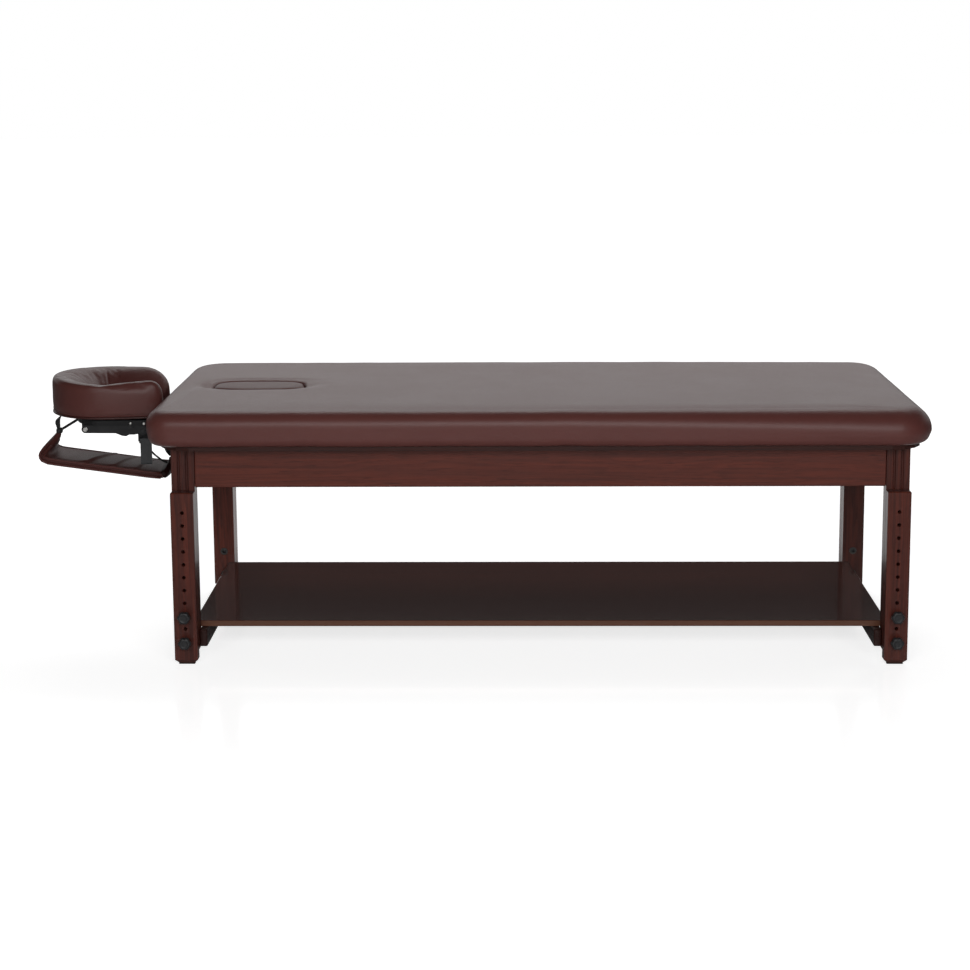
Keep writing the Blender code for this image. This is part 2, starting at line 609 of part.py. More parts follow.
def build_cam_lever():
    x, y = lever_positions()
    half = LEVER_WIDTH / 2
    outer = half + GAP + LEVER_CHEEK
    back = -(BASE_HALF_WIDTH + GAP)
    radius = LEVER_THICKNESS / 2
    front = y - radius - 0.002
    bore = LEVER_PIN_RADIUS + GAP
    # U-shaped bracket on the front face of the base, open to the front
    plan = [(x - outer, back), (x + outer, back), (x + outer, front), (x + half + GAP, front),
            (x + half + GAP, back - LEVER_CHEEK), (x - half - GAP, back - LEVER_CHEEK),
            (x - half - GAP, front), (x - outer, front)]
    heights = (LEVER_AXIS_Z - 0.009, LEVER_AXIS_Z + 0.0042)
    rings = [[(px, py, z) for px, py in plan] for z in heights]
    bracket = ring_solid("lever_bracket", rings, "black_steel")
    start = (x - outer - OVERRUN, y, LEVER_AXIS_Z)
    drill(bracket, "lever_bracket_bore", [(start, 2 * (outer + OVERRUN), bore)], "X", 16)
    # Flat lever hanging from the pin, rounded over the pin
    tip = LEVER_AXIS_Z - LEVER_LENGTH
    side = []
    for i in range(9):
        turn = math.pi * i / 8
        side.append((y + radius * math.cos(turn), LEVER_AXIS_Z + radius * math.sin(turn)))
    side += [(y - radius, tip + 0.004), (y - radius + 0.002, tip), (y + radius - 0.002, tip),
             (y + radius, tip + 0.004)]
    rings = [[(px, py, pz) for py, pz in side] for px in (x - half, x + half)]
    lever = ring_solid("cam_lever", rings, "grey_lever", origin=(x, y, LEVER_AXIS_Z))
    start = (x - half - OVERRUN, y, LEVER_AXIS_Z)
    drill(lever, "cam_lever_bore", [(start, LEVER_WIDTH + 2 * OVERRUN, bore)], "X", 16)
    reach = outer + 0.001
    profile = ((-reach, LEVER_PIN_RADIUS * 0.8), (-reach + 0.0005, LEVER_PIN_RADIUS),
               (reach - 0.0005, LEVER_PIN_RADIUS), (reach, LEVER_PIN_RADIUS * 0.8))
    turned("lever_pin", (x, y, LEVER_AXIS_Z), "X", profile, "zinc_steel", 16)


def arm_outline():
    """Side arm: a bar from the base pivot to the far pin, with a belly near the base."""
    points = []
    for i in range(9):
        turn = math.radians(90 + 180 * i / 8)
        points.append((PIN_X + ARM_HALF_HEIGHT * math.cos(turn),
                       PIN_Z + ARM_HALF_HEIGHT * math.sin(turn)))
    points += [(PIVOT_X - 0.068, PIN_Z - ARM_HALF_HEIGHT - 0.0005),
               (PIVOT_X - 0.052, PIN_Z - ARM_HALF_HEIGHT - 0.007),
               (PIVOT_X - 0.043, PIN_Z - ARM_HALF_HEIGHT - 0.008),
               (PIVOT_X - 0.034, PIN_Z - ARM_HALF_HEIGHT - 0.004),
               (PIVOT_X - 0.022, PIN_Z - ARM_HALF_HEIGHT - 0.004)]
    for i in range(7):
        turn = math.radians(220 + 165 * i / 6)
        points.append((PIVOT_X + 0.0105 * math.cos(turn), PIVOT_Z + 0.0105 * math.sin(turn)))
    points += [(PIVOT_X + 0.004, PIN_Z + ARM_HALF_HEIGHT)]
    return points


def build_cradle_arms():
    bore = PIVOT_RADIUS + PIVOT_CLEARANCE
    pin_bore = PIN_RADIUS + PIVOT_CLEARANCE
    for label, s in (("front", -1), ("rear", 1)):
        ys = sorted((s * ARM_INNER_Y, s * ARM_OUTER_Y))
        arm = plate("cradle_arm_" + label, arm_outline(), ys, "black_steel", PIVOT_ORIGIN)
        length = ARM_THICKNESS + 2 * OVERRUN
        bores = [((PIVOT_X, ys[0] - OVERRUN, PIVOT_Z), length, bore),
                 ((PIN_X, ys[0] - OVERRUN, PIN_Z), length, pin_bore)]
        drill(arm, "cradle_arm_bores_" + label, bores, "Y", 20)
    half = ARM_OUTER_Y + GAP
    head = RIVET_HEAD_THICKNESS
    profile = ((-half - head, RIVET_HEAD_RADIUS * 0.7), (-half - head * 0.5, RIVET_HEAD_RADIUS),
               (-half, RIVET_HEAD_RADIUS), (-half, PIN_RADIUS), (half, PIN_RADIUS),
               (half, RIVET_HEAD_RADIUS), (half + head * 0.5, RIVET_HEAD_RADIUS),
               (half + head, RIVET_HEAD_RADIUS * 0.7))
    turned("cradle_far_pin", PIN_ORIGIN, "Y", profile, "zinc_steel", 20)


def horseshoe(half_width, end_depth, far_x, near_x, slot_half, slot_x, steps=10):
    """Plan of a horseshoe plate with an oval far end, open toward the table."""
    points = []
    for i in range(2 * steps + 1):
        turn = math.radians(90 + 180 * i / (2 * steps))
        points.append((far_x + end_depth + end_depth * math.cos(turn),
                       half_width * math.sin(turn)))
    points += [(near_x, -half_width), (near_x, -slot_half)]
    for i in range(steps + 1):
        turn = math.radians(270 - 180 * i / steps)
        points.append((slot_x + slot_half + slot_half * math.cos(turn), slot_half * math.sin(turn)))
    points += [(near_x, slot_half), (near_x, half_width)]
    return points


def build_platform():
    far_x = PIN_X - PLATFORM_TAIL
    near_x = BASE_NEAR_X - 0.001
    slot_x = CUSHION_RING_X - CUSHION_RING_RADIUS + FACE_SLOT_HALF
    plan = horseshoe(PLATFORM_HALF_WIDTH, PLATFORM_END_DEPTH, far_x, near_x, FACE_SLOT_HALF,
                     slot_x)
    rings = [[(x, y, z) for x, y in plan] for z in (PLATFORM_BOTTOM_Z, PLATFORM_TOP_Z)]
    platform = ring_solid("cradle_platform", rings, "black_plastic", PIN_ORIGIN)
    # Ears down to the far pin, inside the arms
    reach = 0.0095
    for label, s in (("front", -1), ("rear", 1)):
        outer = s * (ARM_INNER_Y - GAP)
        inner = s * (ARM_INNER_Y - GAP - PLATFORM_EAR_THICKNESS)
        points = [(PIN_X - reach, PLATFORM_BOTTOM_Z + 0.004)]
        for i in range(9):
            turn = math.radians(180 + 180 * i / 8)
            points.append((PIN_X + reach * math.cos(turn), PIN_Z + reach * math.sin(turn)))
        points.append((PIN_X + reach, PLATFORM_BOTTOM_Z + 0.004))
        verts, faces = skin_rings([[(x, y, z) for x, z in points] for y in sorted((inner, outer))])
        ear = cutter("cradle_ear_" + label, verts, faces)
        combine(platform, ear, "UNION")
    start = (PIN_X, -ARM_INNER_Y - OVERRUN, PIN_Z)
    bore = PIN_RADIUS + PIVOT_CLEARANCE
    length = 2 * (ARM_INNER_Y + OVERRUN)
    drill(platform, "cradle_ear_bore", [(start, length, bore)], "Y", 20)
    # Hook strips that hold the cushion
    z_range = (PLATFORM_TOP_Z + GAP, PLATFORM_TOP_Z + GAP + STRIP_THICKNESS)
    x_range = (CUSHION_RING_X + 0.010, near_x - 0.030)
    for label, s in (("front", -1), ("rear", 1)):
        middle = s * CUSHION_RING_RADIUS
        block("hook_strip_" + label, x_range,
              (middle - STRIP_WIDTH / 2, middle + STRIP_WIDTH / 2), z_range, "webbing", 0.0005,
              PIN_ORIGIN)
    # Slotted tilt plate hanging from the platform outside the front arm
    y0 = -(ARM_OUTER_Y + GAP)
    points = [(PIVOT_X - 0.062, PLATFORM_BOTTOM_Z - GAP), (PIVOT_X - 0.060, PIVOT_Z + 0.014),
              (PIVOT_X - 0.050, PIVOT_Z + 0.005), (PIVOT_X - 0.036, PIVOT_Z + 0.003),
              (PIVOT_X - 0.026, PIVOT_Z + 0.008), (PIVOT_X - 0.022, PLATFORM_BOTTOM_Z - GAP)]
    plate("tilt_plate", points, (y0, y0 - QUADRANT_THICKNESS), "black_steel", PIN_ORIGIN)


def cushion_section(scale):
    """Cross-section of the face cushion: (across, up) pairs, outside first."""
    half = CUSHION_TUBE_HALF
    tall = CUSHION_HEIGHT
    points = ((0.80, 0.00), (0.93, 0.05), (0.99, 0.22), (1.00, 0.50), (0.97, 0.80), (0.86, 0.93),
              (0.62, 0.995), (0.25, 1.00), (-0.25, 0.95), (-0.62, 0.86), (-0.88, 0.72),
              (-1.00, 0.48), (-0.98, 0.20), (-0.90, 0.04), (-0.76, 0.00))
    return [(half * a * scale, tall * (b * (0.55 + 0.45 * scale) + 0.06 * (1 - scale)))
            for a, b in points]


def build_face_cushion():
    """Horseshoe cushion swept around the face opening."""
    stations = []
    radius = CUSHION_RING_RADIUS
    near = CUSHION_RING_X + CUSHION_STRAIGHT
    ends = ((0.0, 0.40), (0.004, 0.66), (0.012, 0.86), (0.026, 0.97))
    for back, scale in ends:
        stations.append((near - back, -radius, 0.0, -1.0, scale))
    for part in (0.45, 0.75):
        stations.append((near - CUSHION_STRAIGHT * part, -radius, 0.0, -1.0, 1.0))
    steps = 14
    for i in range(steps + 1):
        turn = math.radians(-90 - 180 * i / steps)
        nx, ny = math.cos(turn), math.sin(turn)
        stations.append((CUSHION_RING_X + radius * nx, radius * ny, nx, ny, 1.0))
    for part in (0.75, 0.45):
        stations.append((near - CUSHION_STRAIGHT * part, radius, 0.0, 1.0, 1.0))
    for back, scale in reversed(ends):
        stations.append((near - back, radius, 0.0, 1.0, scale))
    rings = []
    for x, y, nx, ny, scale in stations:
        rings.append([(x + nx * a, y + ny * a, CUSHION_BOTTOM_Z + b)
                      for a, b in cushion_section(scale)])
    ring_solid("face_cushion", rings, "brown_vinyl", origin=PIN_ORIGIN)


def sweep_points(path, sizes, count):
    """Rounded sections along an XZ path; sizes holds (half width, half thickness)."""
    rings = []
    for i, (x, z) in enumerate(path):
        a = path[max(i - 1, 0)]
        b = path[min(i + 1, len(path) - 1)]
        tx, tz = b[0] - a[0], b[1] - a[1]
        size = math.hypot(tx, tz)
        nx, nz = -tz / size, tx / size
        half_w, half_t = sizes[i]
        ring = []
        for j in range(count):
            turn = 2 * math.pi * (j + 0.5) / count
            c, s = math.cos(turn), math.sin(turn)
            w = half_w * math.copysign(abs(c) ** 0.55, c)
            t = half_t * math.copysign(abs(s) ** 0.75, s)
            ring.append((x + nx * t, w, z + nz * t))
        rings.append(ring)
    return rings


def sling_ends():
    """Far end and near end of the sling."""
    far = PAD_HEAD_X - HEAD_REACH
    near = PAD_HEAD_X - SLING_PAD_GAP
    return far, near


def build_sling():
    far, near = sling_ends()
    t = SLING_HALF_THICKNESS
    w = SLING_HALF_WIDTH
    left = far + t
    path = [(left + SLING_NECK_BACK, SLING_NECK_Z),
            (left + SLING_NECK_BACK * 0.81, SLING_NECK_Z - 0.013),
            (left + SLING_NECK_BACK * 0.26, SLING_NECK_Z - 0.032), (left, SLING_HIGH_Z + 0.011),
            (left + 0.0065, SLING_HIGH_Z + 0.0005), (left + 0.026, SLING_HIGH_Z - 0.0035)]
    sizes = [(0.010, 0.0045), (0.017, 0.0055), (w * 0.62, 0.0075), (w * 0.90, 0.0095),
             (w * 0.99, t), (w, t)]
    for part in (0.25, 0.5, 0.75):
        x = left + 0.026 + (near - left - 0.052) * part
        z = SLING_HIGH_Z - 0.0035 + (SLING_LOW_Z - SLING_HIGH_Z + 0.0035) * part
        path.append((x, z))
        sizes.append((w, t))
    path += [(near - 0.026, SLING_LOW_Z), (near - 0.009, SLING_LOW_Z + 0.002),
             (near - 0.001, SLING_LOW_Z + 0.0115), (near - 0.002, SLING_LOW_Z + 0.022),
             (near - SLING_HANG_BACK, SLING_LOW_Z + 0.032)]
    sizes += [(w, t), (w * 0.97, t * 0.95), (w * 0.85, 0.0085), (w * 0.62, 0.0065),
              (w * 0.40, 0.0050)]
    hang = (near - SLING_HANG_BACK, 0.0, SLING_LOW_Z + 0.036)
    ring_solid("sling_panel", sweep_points(path, sizes, 20), "brown_vinyl", origin=hang)
    build_sling_straps(left, near)


def band(name, path, width_axis, width, thickness, finish, origin):
    """A flat strap along a path of points; the width runs along one axis."""
    rings = []
    wide = Vector((1, 0, 0)) if width_axis == "X" else Vector((0, 1, 0))
    points = [Vector(p) for p in path]
    for i, p in enumerate(points):
        ahead = points[min(i + 1, len(points) - 1)] - points[max(i - 1, 0)]
        ahead.normalize()
        across = ahead.cross(wide)
        across.normalize()
        h = across * (thickness / 2)
        w = wide * (width / 2)
        rings.append([p - w - h, p + w - h, p + w + h, p - w + h])
    return ring_solid(name, rings, finish, origin)


def build_sling_straps(left, near):
    t = STRAP_THICKNESS
    # Far strap: down from the cushion, under the gathered end and up to the platform
    low = SLING_NECK_Z + SOFT_GAP + t / 2
    middle = left + SLING_NECK_BACK
    bend = 0.0040
    cushion_top = CUSHION_BOTTOM_Z - SOFT_GAP - t / 2
    platform_top = PLATFORM_BOTTOM_Z - SOFT_GAP - t / 2
    path = [(middle + 0.008, 0.0, cushion_top), (middle - 0.002, 0.0, (cushion_top + low) / 2 + 0.004),
            (middle - bend, 0.0, low + bend)]
    for turn in (225, 270, 315):
        a = math.radians(turn)
        path.append((middle + bend * math.cos(a), 0.0, low + bend + bend * math.sin(a)))
    path += [(middle + bend, 0.0, low + bend + 0.001), (PIN_X - 0.022, 0.0, platform_top)]
    band("sling_strap_far", path, "Y", STRAP_WIDTH, t, "webbing", PIN_ORIGIN)
    # Front strap: loops over the front post and comes down to the gathered end
    x = near - SLING_HANG_BACK
    gather_z = SLING_LOW_Z + 0.0325 + SOFT_GAP + t
    ring = (POST_RADIUS + SOFT_GAP) / math.cos(math.radians(20)) + t / 2
    path = []
    for turn in (-60, -20, 20, 60, 100, 140, 180, 215):
        a = math.radians(turn)
        path.append((x, -POST_Y - ring * math.cos(a), POST_Z + ring * math.sin(a)))
    path += [(x, -0.045, (POST_Z + gather_z) / 2), (x, -0.004 - t, gather_z)]
    band("sling_strap_front", path, "X", STRAP_WIDTH, t, "webbing", (x, 0.0, POST_Z))
    # Rear strap: from the underside of the base to the gathered end
    base_x = (BASE_FAR_X + PIVOT_X) / 2
    base_z = BASE_BOTTOM_Z - SOFT_GAP - t / 2
    side = STRAP_WIDTH * 0.75
    path = [(base_x - 0.004, side, base_z), (base_x + 0.006, side, base_z),
            (base_x + 0.014, side, base_z - 0.003),
            (x + 0.004, side, gather_z)]
    band("sling_strap_rear", path, "Y", STRAP_WIDTH * 0.5, t, "webbing", (x, 0.0, POST_Z))


def main():
    clear_scene()
    build_top()
    build_frame()
    for label, end, side in (("head_front", -1, -1), ("head_rear", -1, 1),
                             ("foot_front", 1, -1), ("foot_rear", 1, 1)):
        build_leg(label, end, side)
    build_shelf()
    build_cradle_base()
    build_cam_lever()
    build_cradle_arms()
    build_platform()
    build_face_cushion()
    build_sling()


main()
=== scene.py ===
"""Dressed model of a wooden massage table with a face cradle and a hanging arm sling.

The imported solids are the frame.  The operators below put the upholstery, straps, knobs,
fasteners, finishes and the stage around it, in metres and in the frame's own axes.
"""
import json
import math

import bmesh
import bpy
import numpy as np
from mathutils import Matrix, Vector, noise

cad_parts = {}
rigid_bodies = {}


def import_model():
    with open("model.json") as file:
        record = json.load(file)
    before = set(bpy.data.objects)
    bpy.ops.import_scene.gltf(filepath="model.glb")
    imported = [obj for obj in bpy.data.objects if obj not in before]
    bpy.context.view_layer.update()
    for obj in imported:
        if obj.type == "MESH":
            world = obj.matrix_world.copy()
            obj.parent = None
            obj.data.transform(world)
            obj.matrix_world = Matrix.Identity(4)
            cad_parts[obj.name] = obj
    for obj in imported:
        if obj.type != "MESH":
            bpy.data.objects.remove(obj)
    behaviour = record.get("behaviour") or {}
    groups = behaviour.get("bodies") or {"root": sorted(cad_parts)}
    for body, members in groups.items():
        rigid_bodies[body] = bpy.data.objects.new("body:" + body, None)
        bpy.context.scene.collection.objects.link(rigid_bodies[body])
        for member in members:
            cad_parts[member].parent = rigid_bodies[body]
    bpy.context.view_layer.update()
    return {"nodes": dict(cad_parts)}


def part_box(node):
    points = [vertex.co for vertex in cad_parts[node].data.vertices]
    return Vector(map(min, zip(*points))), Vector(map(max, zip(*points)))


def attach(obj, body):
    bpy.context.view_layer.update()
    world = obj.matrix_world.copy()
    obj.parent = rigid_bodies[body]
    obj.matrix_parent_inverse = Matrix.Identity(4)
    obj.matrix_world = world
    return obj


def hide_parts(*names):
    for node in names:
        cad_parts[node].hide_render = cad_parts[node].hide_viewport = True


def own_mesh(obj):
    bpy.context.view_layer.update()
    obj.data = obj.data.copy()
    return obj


bl_info = {
    "name": "Massage Table",
    "version": (1, 0, 0),
    "blender": (4, 5, 0),
    "location": "View3D > Sidebar > Massage Table",
    "description": "Dresses the massage table's solids with upholstery, straps, knobs and finishes",
    "category": "Object",
}

for old in list(bpy.data.objects):
    bpy.data.objects.remove(old, do_unlink=True)
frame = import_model()


def corners(node):
    """The low and the high corner of a solid's box."""
    return tuple(Vector(corner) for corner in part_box(node))


# Places that the pieces take from the frame
PAD_LOW, PAD_HIGH = corners("top_cushion")
PLUG_LOW, PLUG_HIGH = corners("face_hole_plug")
CUSHION_LOW, CUSHION_HIGH = corners("face_cushion")
SLING_LOW, SLING_HIGH = corners("sling_panel")
BASE_LOW, BASE_HIGH = corners("cradle_base")
POST_LOW, POST_HIGH = corners("cradle_post_front")
PLATFORM_HIGH = corners("cradle_platform")[1]
SHELF_LOW, SHELF_HIGH = corners("shelf_board")
HOLE_X = (PLUG_LOW.x + PLUG_HIGH.x) / 2
POST_Z = (POST_LOW.z + POST_HIGH.z) / 2
POST_Y = (POST_LOW.y + POST_HIGH.y) / 2
KNOB_NODES = sorted(n for n in frame["nodes"] if n.startswith("knob_"))


# ---------------------------------------------------------------- settings

def length(label, words, value):
    return bpy.props.FloatProperty(name=label, description=words, default=value, min=0.0,
                                   subtype="DISTANCE", unit="LENGTH", precision=4)


def amount(label, words, value, top=1.0):
    return bpy.props.FloatProperty(name=label, description=words, default=value, min=0.0, max=top)


def colour(label, words, value):
    return bpy.props.FloatVectorProperty(name=label, description=words, default=value, size=3,
                                         min=0.0, max=1.0, subtype="COLOR")


class UpholsterySettings(bpy.types.PropertyGroup):
    vinyl: colour("Vinyl", "Brown of the vinyl cover", (0.092, 0.030, 0.026))
    vinyl_roughness: amount("Vinyl Roughness", "How dull the vinyl is", 0.36)
    pebble: length("Pebble", "Size of the vinyl's pebble grain", 0.0017)
    pad_corner: length("Pad Corner", "Corner radius of the padded top", 0.092)
    pad_front_corner: length("Pad Front Corner", "Corner radius at the front of the head end", 0.064)
    pad_roll: length("Pad Edge Roll", "Radius of the padded top's upper edge", 0.036)
    pad_wave: length("Pad Wave", "Depth of the slight waves along the pad's edge", 0.0007)
    hole_rim: length("Hole Rim", "Radius of the rolled rim of the face hole", 0.011)
    cushion_tube: length("Cushion Tube", "Half width of the face cushion's roll", 0.050)
    pleat_depth: length("Pleat Depth", "Depth of the pleats on the inner wall", 0.0017)
    stitch_pitch: length("Stitch Pitch", "Spacing of the stitches", 0.0045)


class SlingSettings(bpy.types.PropertyGroup):
    half_width: length("Half Width", "Half width of the sling panel", 0.072)
    half_thickness: length("Half Thickness", "Half thickness of the sling panel", 0.0130)
    piping: length("Piping", "Radius of the piping along the sling's edges", 0.0030)
    strap_width: length("Strap Width", "Width of the webbing", 0.020)
    strap_thickness: length("Strap Thickness", "Thickness of the webbing", 0.0018)
    webbing: colour("Webbing", "Black of the webbing", (0.011, 0.010, 0.010))


class WoodSettings(bpy.types.PropertyGroup):
    stain: colour("Stain", "Mahogany stain between the pores", (0.082, 0.018, 0.011))
    stain_dark: colour("Dark Stain", "Stain in the dark figure and pores", (0.030, 0.008, 0.006))
    shelf: colour("Shelf", "Dark stain of the shelf board", (0.050, 0.0160, 0.0118))
    shelf_edge: colour("Shelf Edge", "Lighter edge of the shelf board", (0.105, 0.036, 0.015))
    plywood: colour("Plywood", "Bare plywood under the pad", (0.36, 0.24, 0.14))
    ring_pitch: length("Ring Pitch", "Spacing of the growth rings", 0.0075)


class HardwareSettings(bpy.types.PropertyGroup):
    plastic: colour("Plastic", "Black moulded plastic", (0.016, 0.016, 0.017))
    steel: colour("Powder Coat", "Black powder coat of the steel arms", (0.017, 0.017, 0.018))
    zinc: colour("Zinc", "Zinc plated rivets, pins and nuts", (0.62, 0.61, 0.59))
    lever: colour("Lever", "Dark grey of the cam lever", (0.030, 0.031, 0.033))
    rubber: colour("Rubber", "Rubber under the legs", (0.020, 0.010, 0.008))
    knob_radius: length("Knob Radius", "Radius over the knob's lobes", 0.0155)
    knob_lobes: bpy.props.IntProperty(name="Knob Lobes", description="Number of lobes of a knob",
                                      default=6, min=3, max=12)
    rivet_radius: length("Rivet Radius", "Radius of the small rivet heads", 0.0034)
    screw_radius: length("Screw Radius", "Radius of the shelf bars' screw heads", 0.0042)


class StageSettings(bpy.types.PropertyGroup):
    floor: colour("Floor", "Pale floor", (0.70, 0.70, 0.70))
    floor_glow: amount("Floor Glow", "White that the camera sees on the floor near the table", 0.74)
    floor_gloss: amount("Floor Gloss", "Share of mirror reflection on the floor", 0.20)
    horizon: amount("Horizon", "World brightness near the horizon", 0.04, 4.0)
    zenith: amount("Zenith", "World brightness overhead", 0.03, 4.0)
    key_power: amount("Key Light", "Power of the front light in watts", 120.0, 2000.0)
    back_power: amount("Back Light", "Power of the high light behind the table in watts", 66.0, 2000.0)
    sheen_power: amount("Sheen Light", "Power of the low panel that the top mirrors in watts", 12.0, 2000.0)
    fill_power: amount("Fill Light", "Power of the low front light in watts", 24.0, 2000.0)


# ---------------------------------------------------------------- shader helpers

class Wiring:
    """Adds shader nodes to a tree and joins them."""

    def __init__(self, tree):
        self.tree = tree

    def add(self, kind, **settings):
        node = self.tree.nodes.new(kind)
        for key, value in settings.items():
            setattr(node, key, value)
        return node

    def put(self, socket, value):
        """Joins an output to a socket, or sets a plain value on it."""
        if isinstance(value, bpy.types.NodeSocket):
            self.tree.links.new(value, socket)
        else:
            socket.default_value = value

    def maths(self, operation, a, b=0.0, clamp=False):
        node = self.add("ShaderNodeMath", operation=operation, use_clamp=clamp)
        self.put(node.inputs[0], a)
        self.put(node.inputs[1], b)
        return node.outputs[0]

    def times(self, a, b):
        return self.maths("MULTIPLY", a, b)

    def blend(self, factor, a, b):
        node = self.add("ShaderNodeMix", data_type="RGBA")
        self.put(node.inputs[0], factor)
        self.put(node.inputs[6], a)
        self.put(node.inputs[7], b)
        return node.outputs[2]

    def span(self, value, low, high, to_low=0.0, to_high=1.0):
        """Maps a value smoothly from one range to another."""
        node = self.add("ShaderNodeMapRange", interpolation_type="SMOOTHSTEP")
        for socket, part in zip(node.inputs, (value, low, high, to_low, to_high)):
            self.put(socket, part)
        return node.outputs[0]

    def noise(self, vector, scale, detail=2.0, rough=0.5, distortion=0.0):
        node = self.add("ShaderNodeTexNoise")
        self.put(node.inputs["Vector"], vector)
        self.put(node.inputs["Scale"], scale)
        self.put(node.inputs["Detail"], detail)
        self.put(node.inputs["Roughness"], rough)
        self.put(node.inputs["Distortion"], distortion)
        return node.outputs["Fac"]

    def stretch(self, vector, scale=(1.0, 1.0, 1.0), turn=(0.0, 0.0, 0.0), place=(0.0, 0.0, 0.0)):
        node = self.add("ShaderNodeMapping")
        self.put(node.inputs["Vector"], vector)
        node.inputs["Scale"].default_value = scale
        node.inputs["Rotation"].default_value = turn
        node.inputs["Location"].default_value = place
        return node.outputs["Vector"]

    def split(self, vector):
        node = self.add("ShaderNodeSeparateXYZ")
        self.put(node.inputs[0], vector)
        return node.outputs

    def bump(self, height, strength, distance):
        node = self.add("ShaderNodeBump")
        node.inputs["Strength"].default_value = strength
        node.inputs["Distance"].default_value = distance
        self.put(node.inputs["Height"], height)
        return node.outputs["Normal"]

    def group(self, tree, **values):
        """Places a node group and sets its inputs, named with _ for a space."""
        node = self.add("ShaderNodeGroup", node_tree=tree)
        for key, value in values.items():
            self.put(node.inputs[key.replace("_", " ")], value)
        return node.outputs


def new_group(name, inputs, outputs):
    """An empty shader group: inputs hold (name, default), a None default is a vector."""
    tree = bpy.data.node_groups.new(name, "ShaderNodeTree")
    for label, default in inputs:
        kind = "NodeSocketVector" if default is None else "NodeSocketFloat"
        socket = tree.interface.new_socket(label, in_out="INPUT", socket_type=kind)
        if default is not None:
            socket.default_value = default
    for label in outputs:
        tree.interface.new_socket(label, in_out="OUTPUT", socket_type="NodeSocketFloat")
    wiring = Wiring(tree)
    return tree, wiring, wiring.add("NodeGroupInput").outputs, wiring.add("NodeGroupOutput").inputs


PEBBLE_BEND = (0.0008, 0.0008, 0.0008)  # how far the pebbles' outlines stray
GRAIN_DEPTH = 0.0002  # depth of the wood's pores and of powder coat


def pebble_group():
    """Pebble grain of vinyl: a height, and a mask of the creases between the pebbles."""
    tree, w, given, out = new_group("pebble_grain", (("Vector", None), ("Size", 0.002)),
                                    ("Height", "Crease"))
    scale = w.maths("DIVIDE", 1.0, given["Size"])
    cells = w.add("ShaderNodeTexVoronoi", feature="DISTANCE_TO_EDGE")
    bent = w.add("ShaderNodeVectorMath", operation="MULTIPLY_ADD")
    sway = w.add("ShaderNodeTexNoise")
    w.put(sway.inputs["Vector"], given["Vector"])
    w.put(sway.inputs["Scale"], scale)
    w.put(bent.inputs[0], sway.outputs["Color"])
    bent.inputs[1].default_value = PEBBLE_BEND
    w.put(bent.inputs[2], given["Vector"])
    w.put(cells.inputs["Vector"], bent.outputs[0])
    w.put(cells.inputs["Scale"], scale)
    rise = w.span(cells.outputs["Distance"], 0.0, 0.22)
    fine = w.noise(given["Vector"], w.times(scale, 3.0), 2.0)
    w.put(out["Height"], w.maths("ADD", rise, w.times(fine, 0.25)))
    w.put(out["Crease"], w.maths("SUBTRACT", 1.0, rise, clamp=True))
    return tree


def mottle_group():
    """Soft uneven patches at two sizes, from 0 to 1."""
    tree, w, given, out = new_group("soft_mottle", (("Vector", None), ("Scale", 6.0)), ("Patch",))
    broad = w.noise(given["Vector"], given["Scale"], 3.0, 0.55)
    small = w.noise(given["Vector"], w.times(given["Scale"], 6.0), 3.0, 0.6)
    both = w.maths("ADD", w.times(broad, 0.68), w.times(small, 0.32))
    w.put(out["Patch"], w.span(both, 0.32, 0.68))
    return tree


def wood_group():
    """Figure of stained wood with the grain along X: rings, streaks, pores and a height."""
    tree, w, given, out = new_group("stained_figure", (("Vector", None), ("Ring Pitch", 0.007)),
                                    ("Ring", "Streak", "Pore", "Height"))
    slow = w.stretch(given["Vector"], (0.9, 9.0, 9.0))
    drift = w.noise(slow, 1.6, 3.0, 0.5)
    parts = w.split(given["Vector"])
    across = w.maths("ADD", w.times(parts[1], 0.75), w.times(parts[2], 0.66))
    bent = w.maths("ADD", across, w.times(drift, 0.085))
    turns = w.maths("DIVIDE", bent, given["Ring Pitch"])
    wave = w.maths("FRACT", turns)
    ring = w.times(w.span(wave, 0.15, 0.95), w.span(wave, 1.0, 0.93))
    w.put(out["Ring"], ring)
    streak = w.noise(w.stretch(given["Vector"], (3.0, 130.0, 130.0)), 1.0, 4.0, 0.62)
    w.put(out["Streak"], w.span(streak, 0.30, 0.72))
    dots = w.noise(w.stretch(given["Vector"], (26.0, 900.0, 900.0)), 1.0, 1.0, 0.4)
    pore = w.span(dots, 0.63, 0.74)
    w.put(out["Pore"], pore)
    height = w.maths("SUBTRACT", w.times(ring, 0.35), pore)
    w.put(out["Height"], height)
    return tree


def weave_group():
    """Webbing weave along X: raised threads and the gaps between them."""
    tree, w, given, out = new_group("webbing_weave", (("Vector", None), ("Thread", 0.0012)),
                                    ("Height", "Gap"))
    step = w.maths("DIVIDE", 2 * math.pi, given["Thread"])
    parts = w.split(given["Vector"])
    waves = [w.maths("SINE", w.times(parts[i], step)) for i in range(3)]
    mixed = w.times(w.maths("ADD", waves[0], waves[2]), waves[1])
    height = w.span(mixed, -1.2, 1.2)
    w.put(out["Height"], height)
    w.put(out["Gap"], w.span(height, 0.35, 0.05))
    return tree


def speckle_group():
    """Fine orange-peel texture of powder coat and moulded plastic."""
    tree, w, given, out = new_group("fine_speckle", (("Vector", None), ("Scale", 900.0)),
                                    ("Height", "Patch"))
    fine = w.noise(given["Vector"], given["Scale"], 2.0, 0.55)
    broad = w.noise(given["Vector"], w.times(given["Scale"], 0.03), 3.0, 0.6)
    w.put(out["Height"], fine)
    w.put(out["Patch"], w.span(broad, 0.3, 0.7))
    return tree


GROUPS = {}


def groups():
    """The shared shader groups, built once."""
    if not GROUPS:
        GROUPS.update(pebble=pebble_group(), mottle=mottle_group(), wood=wood_group(),
                      weave=weave_group(), speckle=speckle_group())
    return GROUPS


